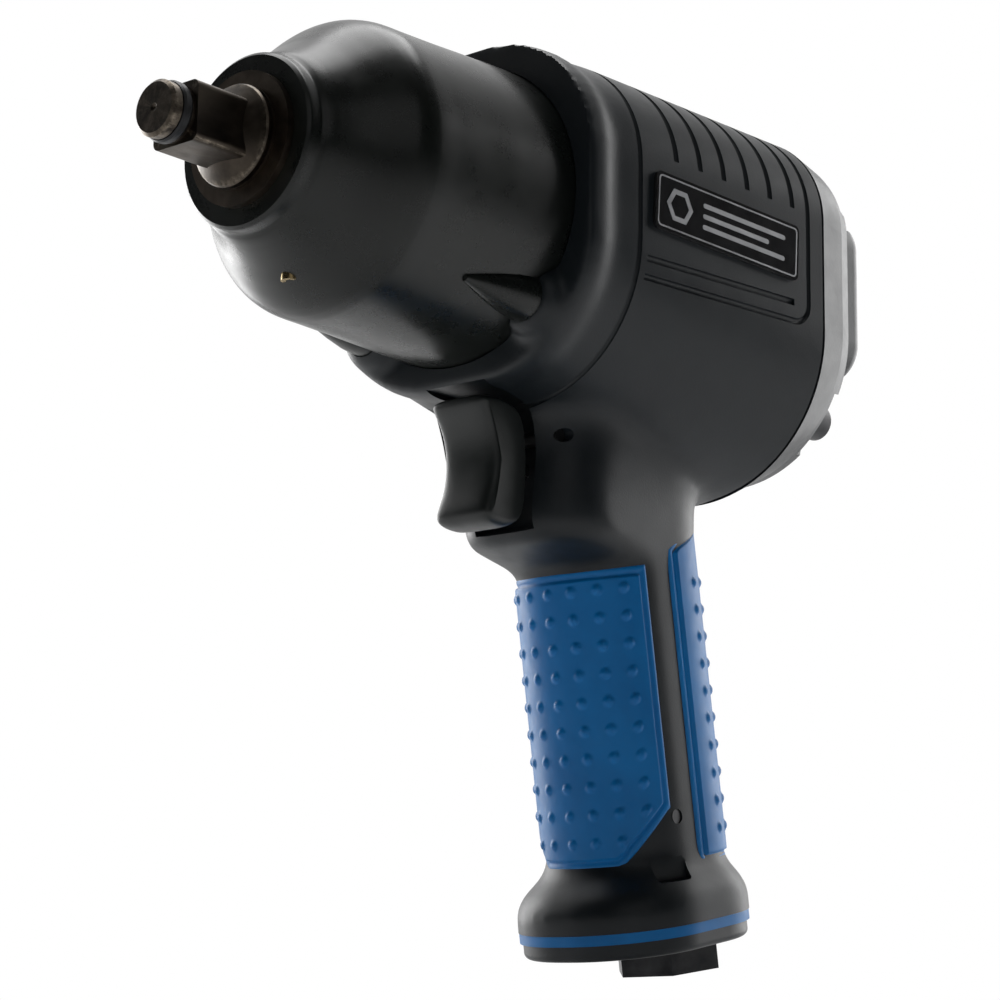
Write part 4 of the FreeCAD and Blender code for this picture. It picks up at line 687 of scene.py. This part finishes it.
def make_grip(name, edge, facing, top_line, bottom_line):
    """An overmoulded grip: a rolled rim, a raised inner panel and rows of round bumps.

    facing is -1 for the front grip and 1 for the rear one; the two lines give the grip's ends
    as (distance from the side edge, distance down the handle)."""
    path, length = half_path(edge, GRIP_SPACING)
    top_s, top_d = zip(*top_line)
    low_s, low_d = zip(*bottom_line)
    points, faces = [], []
    for reach, across, normal_x, normal_y, place in path:
        from_edge = min(place, length - place)
        top = float(np.interp(from_edge, top_s, top_d))
        low = float(np.interp(from_edge, low_s, low_d))
        slant = 1.0 / math.hypot(1.0, (np.interp(from_edge + 0.5, low_s, low_d) - low) * 2)
        for row in range(GRIP_ROWS):
            down = top + (low - top) * row / (GRIP_ROWS - 1)
            rim = min(from_edge, down - top, (low - down) * slant)
            height = -RIM_DROP + RIM_DROP * math.sqrt(max(1 - (1 - min(rim / RIM_R, 1.0)) ** 2, 0.0))
            height += PANEL_RAISE * smooth_step(rim, PANEL_INSET, PANEL_INSET + PANEL_STEP)
            height -= GROOVE_DEPTH * smooth_step(rim, PANEL_INSET - GROOVE_BEFORE, PANEL_INSET) * (
                1 - smooth_step(rim, PANEL_INSET, PANEL_INSET + GROOVE_AFTER))
            if rim > PANEL_INSET + BUMP_MARGIN:
                height += bump_height(place - length / 2, down)
            forward = facing * (reach + normal_x * (height - GRIP_SUNK))
            points.append(handle_point(forward, across + normal_y * (height - GRIP_SUNK), down))
    for column in range(len(path) - 1):
        for row in range(GRIP_ROWS - 1):
            start = column * GRIP_ROWS + row
            faces.append((start, start + 1, start + GRIP_ROWS + 1, start + GRIP_ROWS))
    grip = make_object(name, points, faces)
    mesh = bmesh.new()
    mesh.from_mesh(grip.data)
    bmesh.ops.recalc_face_normals(mesh, faces=mesh.faces)
    mesh.faces.ensure_lookup_table()
    if mesh.faces[len(mesh.faces) // 2].normal.x * facing < 0:
        bmesh.ops.reverse_faces(mesh, faces=mesh.faces)
    mesh.to_mesh(grip.data)
    mesh.free()
    return shade_smooth(grip)


def bump_height(along, down):
    """Height of the domed bumps at a place on the unrolled grip."""
    for centre in BUMP_COLUMNS:
        if abs(along - centre) < BUMP_R:
            for row in BUMP_ROWS:
                away = math.hypot(along - centre, down - row)
                if away < BUMP_R:
                    return BUMP_HEIGHT * (1 - (away / BUMP_R) ** 2) ** 0.75
    return 0.0


def make_grips():
    front = make_grip("front_grip_skin", 8.0, -1, ((0, 72.6), (60, 72.6)),
                      ((0, 128.0), (1.0, 128.6), (12.5, 139.3), (14.5, 140.4), (60, 140.4)))
    rear = make_grip("rear_grip_skin", -0.5, 1, ((0, 69.7), (4, 67.2), (16, 62.7), (24, 61.8), (60, 61.8)),
                     ((0, 140.8), (2.5, 142.2), (60, 142.2)))
    return front, rear


# ---- trigger

TRIGGER_SIDE = (
    (105.0, -40.4), (96.0, -40.0), (91.2, -40.2), (89.6, -41.6), (90.2, -43.6), (92.6, -46.5), (94.2, -50.5),
    (94.7, -55.0), (94.2, -59.5), (92.8, -63.0), (91.6, -65.6), (91.8, -67.8), (94.0, -69.2), (98.0, -69.4),
    (105.0, -69.2),
)
TRIGGER_HALF, TRIGGER_BACK, TRIGGER_FADE = 8.0, 105.0, 6.0
# half of the slices across the trigger: place across as a share of its half width, and how far it draws in
TRIGGER_SLICES = ((-1.0, 3.2), (-0.985, 1.9), (-0.93, 0.95), (-0.82, 0.35), (-0.6, 0.08), (-0.3, 0.0),
                  (0.0, 0.0))


def make_trigger_skin():
    """The curved trigger: its side outline repeated across with rounded front corners."""
    side = np.array(TRIGGER_SIDE)
    rings = []
    mirrored = [(-across, back) for across, back in reversed(TRIGGER_SLICES[:-1])]
    for across, back in (*TRIGGER_SLICES, *mirrored):
        ring = []
        for index, (x, up) in enumerate(side):
            before, after = side[max(index - 1, 0)], side[min(index + 1, len(side) - 1)]
            tangent = after - before
            tangent = tangent / np.linalg.norm(tangent)
            inward = np.array((-tangent[1], tangent[0]))
            fade = smooth_step(TRIGGER_BACK - x, 0.0, TRIGGER_FADE)
            moved = np.array((x, up)) + inward * back * fade
            ring.append((moved[0], across * TRIGGER_HALF, moved[1]))
        rings.append(ring)
    trigger = outward(make_object("trigger_skin", *stitch(rings)))
    modifier = trigger.modifiers.new("rounder", "SUBSURF")
    modifier.levels = modifier.render_levels = 3
    relaxed(applied(trigger), 25, lambda points: np.clip((103.0 - points[:, 0]) / 3.0, 0.0, 0.9))
    return shade_smooth(trigger, 60)


# ---- badges

BADGE_START, BADGE_LENGTH, BADGE_HALF, BADGE_OUT, BADGE_UP = 108.6, 47.4, 6.6, 40.14, 1.4
BADGE_TILT = math.radians(3.0)
BADGE_LEAN = math.atan2(BARREL[2][1] - BARREL[1][1], BARREL[2][0] - BARREL[1][0])
TRIM_LOW, TRIM_HIGH = 0.6, 0.9
HEXAGON_ALONG, HEXAGON_OUTER, HEXAGON_INNER = 7.5, 4.2, 2.9
BAR_START, BAR_HALF, BAR_CORNER = 15.0, 0.55, 0.5


def badge_point(side, along, up, out):
    """A point on a badge: along it, up it, and out from its seat."""
    x = along * math.cos(BADGE_TILT) + up * math.sin(BADGE_TILT)
    z = up * math.cos(BADGE_TILT) - along * math.sin(BADGE_TILT)
    return (BADGE_START + x * math.cos(BADGE_LEAN) - out * math.sin(BADGE_LEAN),
            side * (BADGE_OUT + x * math.sin(BADGE_LEAN) + out * math.cos(BADGE_LEAN)), BADGE_UP + z)


def band(outer, inner, low, high, place):
    """A closed flat band between two outlines that have the same count of points."""
    count = len(outer)
    points = [place(a, b, out) for line, out in ((outer, low), (outer, high), (inner, high), (inner, low))
              for a, b in line]
    faces = [(row * count + step, row * count + (step + 1) % count,
              (row + 1) % 4 * count + (step + 1) % count, (row + 1) % 4 * count + step)
             for row in range(4) for step in range(count)]
    return points, faces


def make_badge_trim(label, side):
    """A thin border, a plain hexagon and three plain bars; no lettering."""
    def place(along, up, out):
        return badge_point(side, along, up, out)

    def box(inset, corner):
        return rounded_outline(inset, BADGE_LENGTH - inset, inset - BADGE_HALF, BADGE_HALF - inset,
                               corner, corner, 5)

    def hexagon(radius):
        return [(HEXAGON_ALONG + radius * math.cos(turn), radius * math.sin(turn))
                for turn in (math.tau * step / 6 for step in range(6))]

    parts = [band(box(0.7, 1.1), box(1.05, 0.8), TRIM_LOW, TRIM_HIGH, place),
             band(hexagon(HEXAGON_OUTER), hexagon(HEXAGON_INNER), TRIM_LOW, TRIM_HIGH, place)]
    for up, end in ((2.5, 42.5), (0.0, 37.0), (-2.5, 42.5)):
        bar = rounded_outline(BAR_START, end, up - BAR_HALF, up + BAR_HALF, BAR_CORNER, BAR_CORNER, 4)
        parts.append(stitch([[place(a, b, out) for a, b in bar] for out in (TRIM_LOW, TRIM_HIGH)]))
    return joined(label, parts)


# ---- camera, lights and floor

CAMERA_AT = (-306.3, -355.4, -172.3)
CAMERA_RIGHT = (0.65139, -0.75862, 0.01350)
CAMERA_LOOK = (0.74159, 0.64033, 0.20004)
FLOOR_HALF, FLOOR_UP = 4000, -173.9
# the way from the camera to the backdrop, as a fixed direction: the surround lights most from there
BACKDROP = (0.742, 0.640, 0.200)


def make_camera():
    """A 90 mm lens in front of the tool, on its left, looking slightly up."""
    data = bpy.data.cameras.new("camera")
    data.lens = 90.0
    data.sensor_width = 36.0
    camera = bpy.data.objects.new("camera", data)
    bpy.context.scene.collection.objects.link(camera)
    right = Vector(CAMERA_RIGHT)
    look = Vector(CAMERA_LOOK)
    up = right.cross(look)
    camera.matrix_world = Matrix.Translation(Vector(CAMERA_AT) * MM) @ Matrix(
        (right, up, -look)).transposed().to_4x4()
    data.clip_start = 0.01
    data.clip_end = 50.0
    bpy.context.scene.camera = camera


def area_light(name, place, target, width, height, power):
    data = bpy.data.lights.new(name, "AREA")
    data.shape = "RECTANGLE"
    data.size, data.size_y = width, height
    data.energy = power
    lamp = bpy.data.objects.new(name, data)
    lamp.location = place
    lamp.rotation_euler = (Vector(target) - Vector(place)).to_track_quat("-Z", "Y").to_euler()
    bpy.context.scene.collection.objects.link(lamp)


def make_floor():
    """A pale floor just under the tool."""
    corners = ((-1, -1), (1, -1), (1, 1), (-1, 1))
    floor = make_object("floor", [(x * FLOOR_HALF, y * FLOOR_HALF, FLOOR_UP) for x, y in corners],
                        [(0, 1, 2, 3)])
    material, tree, shader = new_material("floor_white")
    place = stretched_place(tree, (1, 1, 1))
    tree.links.new(colour_ramp(tree, noise(tree, place, 120.0), ((0.3, (0.80, 0.80, 0.80)),
                                                                 (0.7, (0.84, 0.84, 0.84)))),
                   shader.inputs["Base Color"])
    shader.inputs["Roughness"].default_value = 0.7
    floor.data.materials.append(material)


def make_surround():
    """A surround that is white to the camera and throws most of its light from the backdrop's side."""
    world = bpy.data.worlds.new("surround")
    world.use_nodes = True
    tree = world.node_tree
    background = tree.nodes["Background"]
    background.inputs["Color"].default_value = (1.0, 1.0, 1.0, 1.0)
    direction = tree.nodes.new("ShaderNodeTexCoord")
    facing = tree.nodes.new("ShaderNodeVectorMath")
    facing.operation = "DOT_PRODUCT"
    facing.inputs[1].default_value = BACKDROP
    tree.links.new(direction.outputs["Generated"], facing.inputs[0])
    tree.links.new(remapped(tree, facing.outputs["Value"], 0.012, 0.9, 0.1, 0.8), background.inputs["Strength"])
    bright = tree.nodes.new("ShaderNodeBackground")
    bright.inputs["Color"].default_value = (1.0, 1.0, 1.0, 1.0)
    ray = tree.nodes.new("ShaderNodeLightPath")
    mix = tree.nodes.new("ShaderNodeMixShader")
    tree.links.new(ray.outputs["Is Camera Ray"], mix.inputs["Fac"])
    tree.links.new(background.outputs["Background"], mix.inputs[1])
    tree.links.new(bright.outputs["Background"], mix.inputs[2])
    tree.links.new(mix.outputs["Shader"], tree.nodes["World Output"].inputs["Surface"])
    bpy.context.scene.world = world


def make_stage():
    """The floor, the surround and four large soft lamps, placed and sized in metres."""
    make_floor()
    make_surround()
    middle = (0.1, 0.0, -0.04)
    area_light("above", (0.15, 0.12, 0.75), middle, 0.7, 0.5, 4.2)
    area_light("left_rim", (0.15, 0.90, 0.05), middle, 0.6, 0.9, 7.0)
    area_light("right_rim", (0.85, -0.20, 0.05), middle, 0.6, 0.9, 4.5)
    area_light("front_fill", (-0.6, -0.9, 0.55), middle, 0.8, 0.8, 0.7)
    bpy.context.scene.view_settings.view_transform = "Standard"


# ---- put it together

def give_material(obj, material):
    obj.data.materials.clear()
    obj.data.materials.append(material)


def place_piece(piece, body, slot, materials, *nodes):
    """A new piece: its finish, the body it rides on, and the CAD nodes it stands for."""
    give_material(piece, materials[slot])
    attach(piece, body)
    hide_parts(*nodes)


def finish_nodes(frame, materials):
    """Every CAD node takes the finish of the slot that the record gives it."""
    for part in frame["record"]["subparts"]:
        give_material(frame["nodes"][part["node"]], materials[part["material_slot"]])


def main():
    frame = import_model()
    make_camera()
    make_stage()
    materials = make_materials()
    finish_nodes(frame, materials)
    place_piece(make_case_skin(), "housing", "case_black", materials, "hammer_case")
    place_piece(make_housing_skin(), "housing", "housing_black", materials, "motor_housing")
    front, rear = make_grips()
    place_piece(front, "housing", "grip_blue", materials, "front_grip")
    place_piece(rear, "housing", "grip_blue", materials, "rear_grip")
    place_piece(make_trigger_skin(), "trigger", "trigger_black", materials, "trigger")
    for label, side in (("left_badge_trim", -1), ("right_badge_trim", 1)):
        place_piece(make_badge_trim(label, side), "housing", "light_alloy", materials)


main()
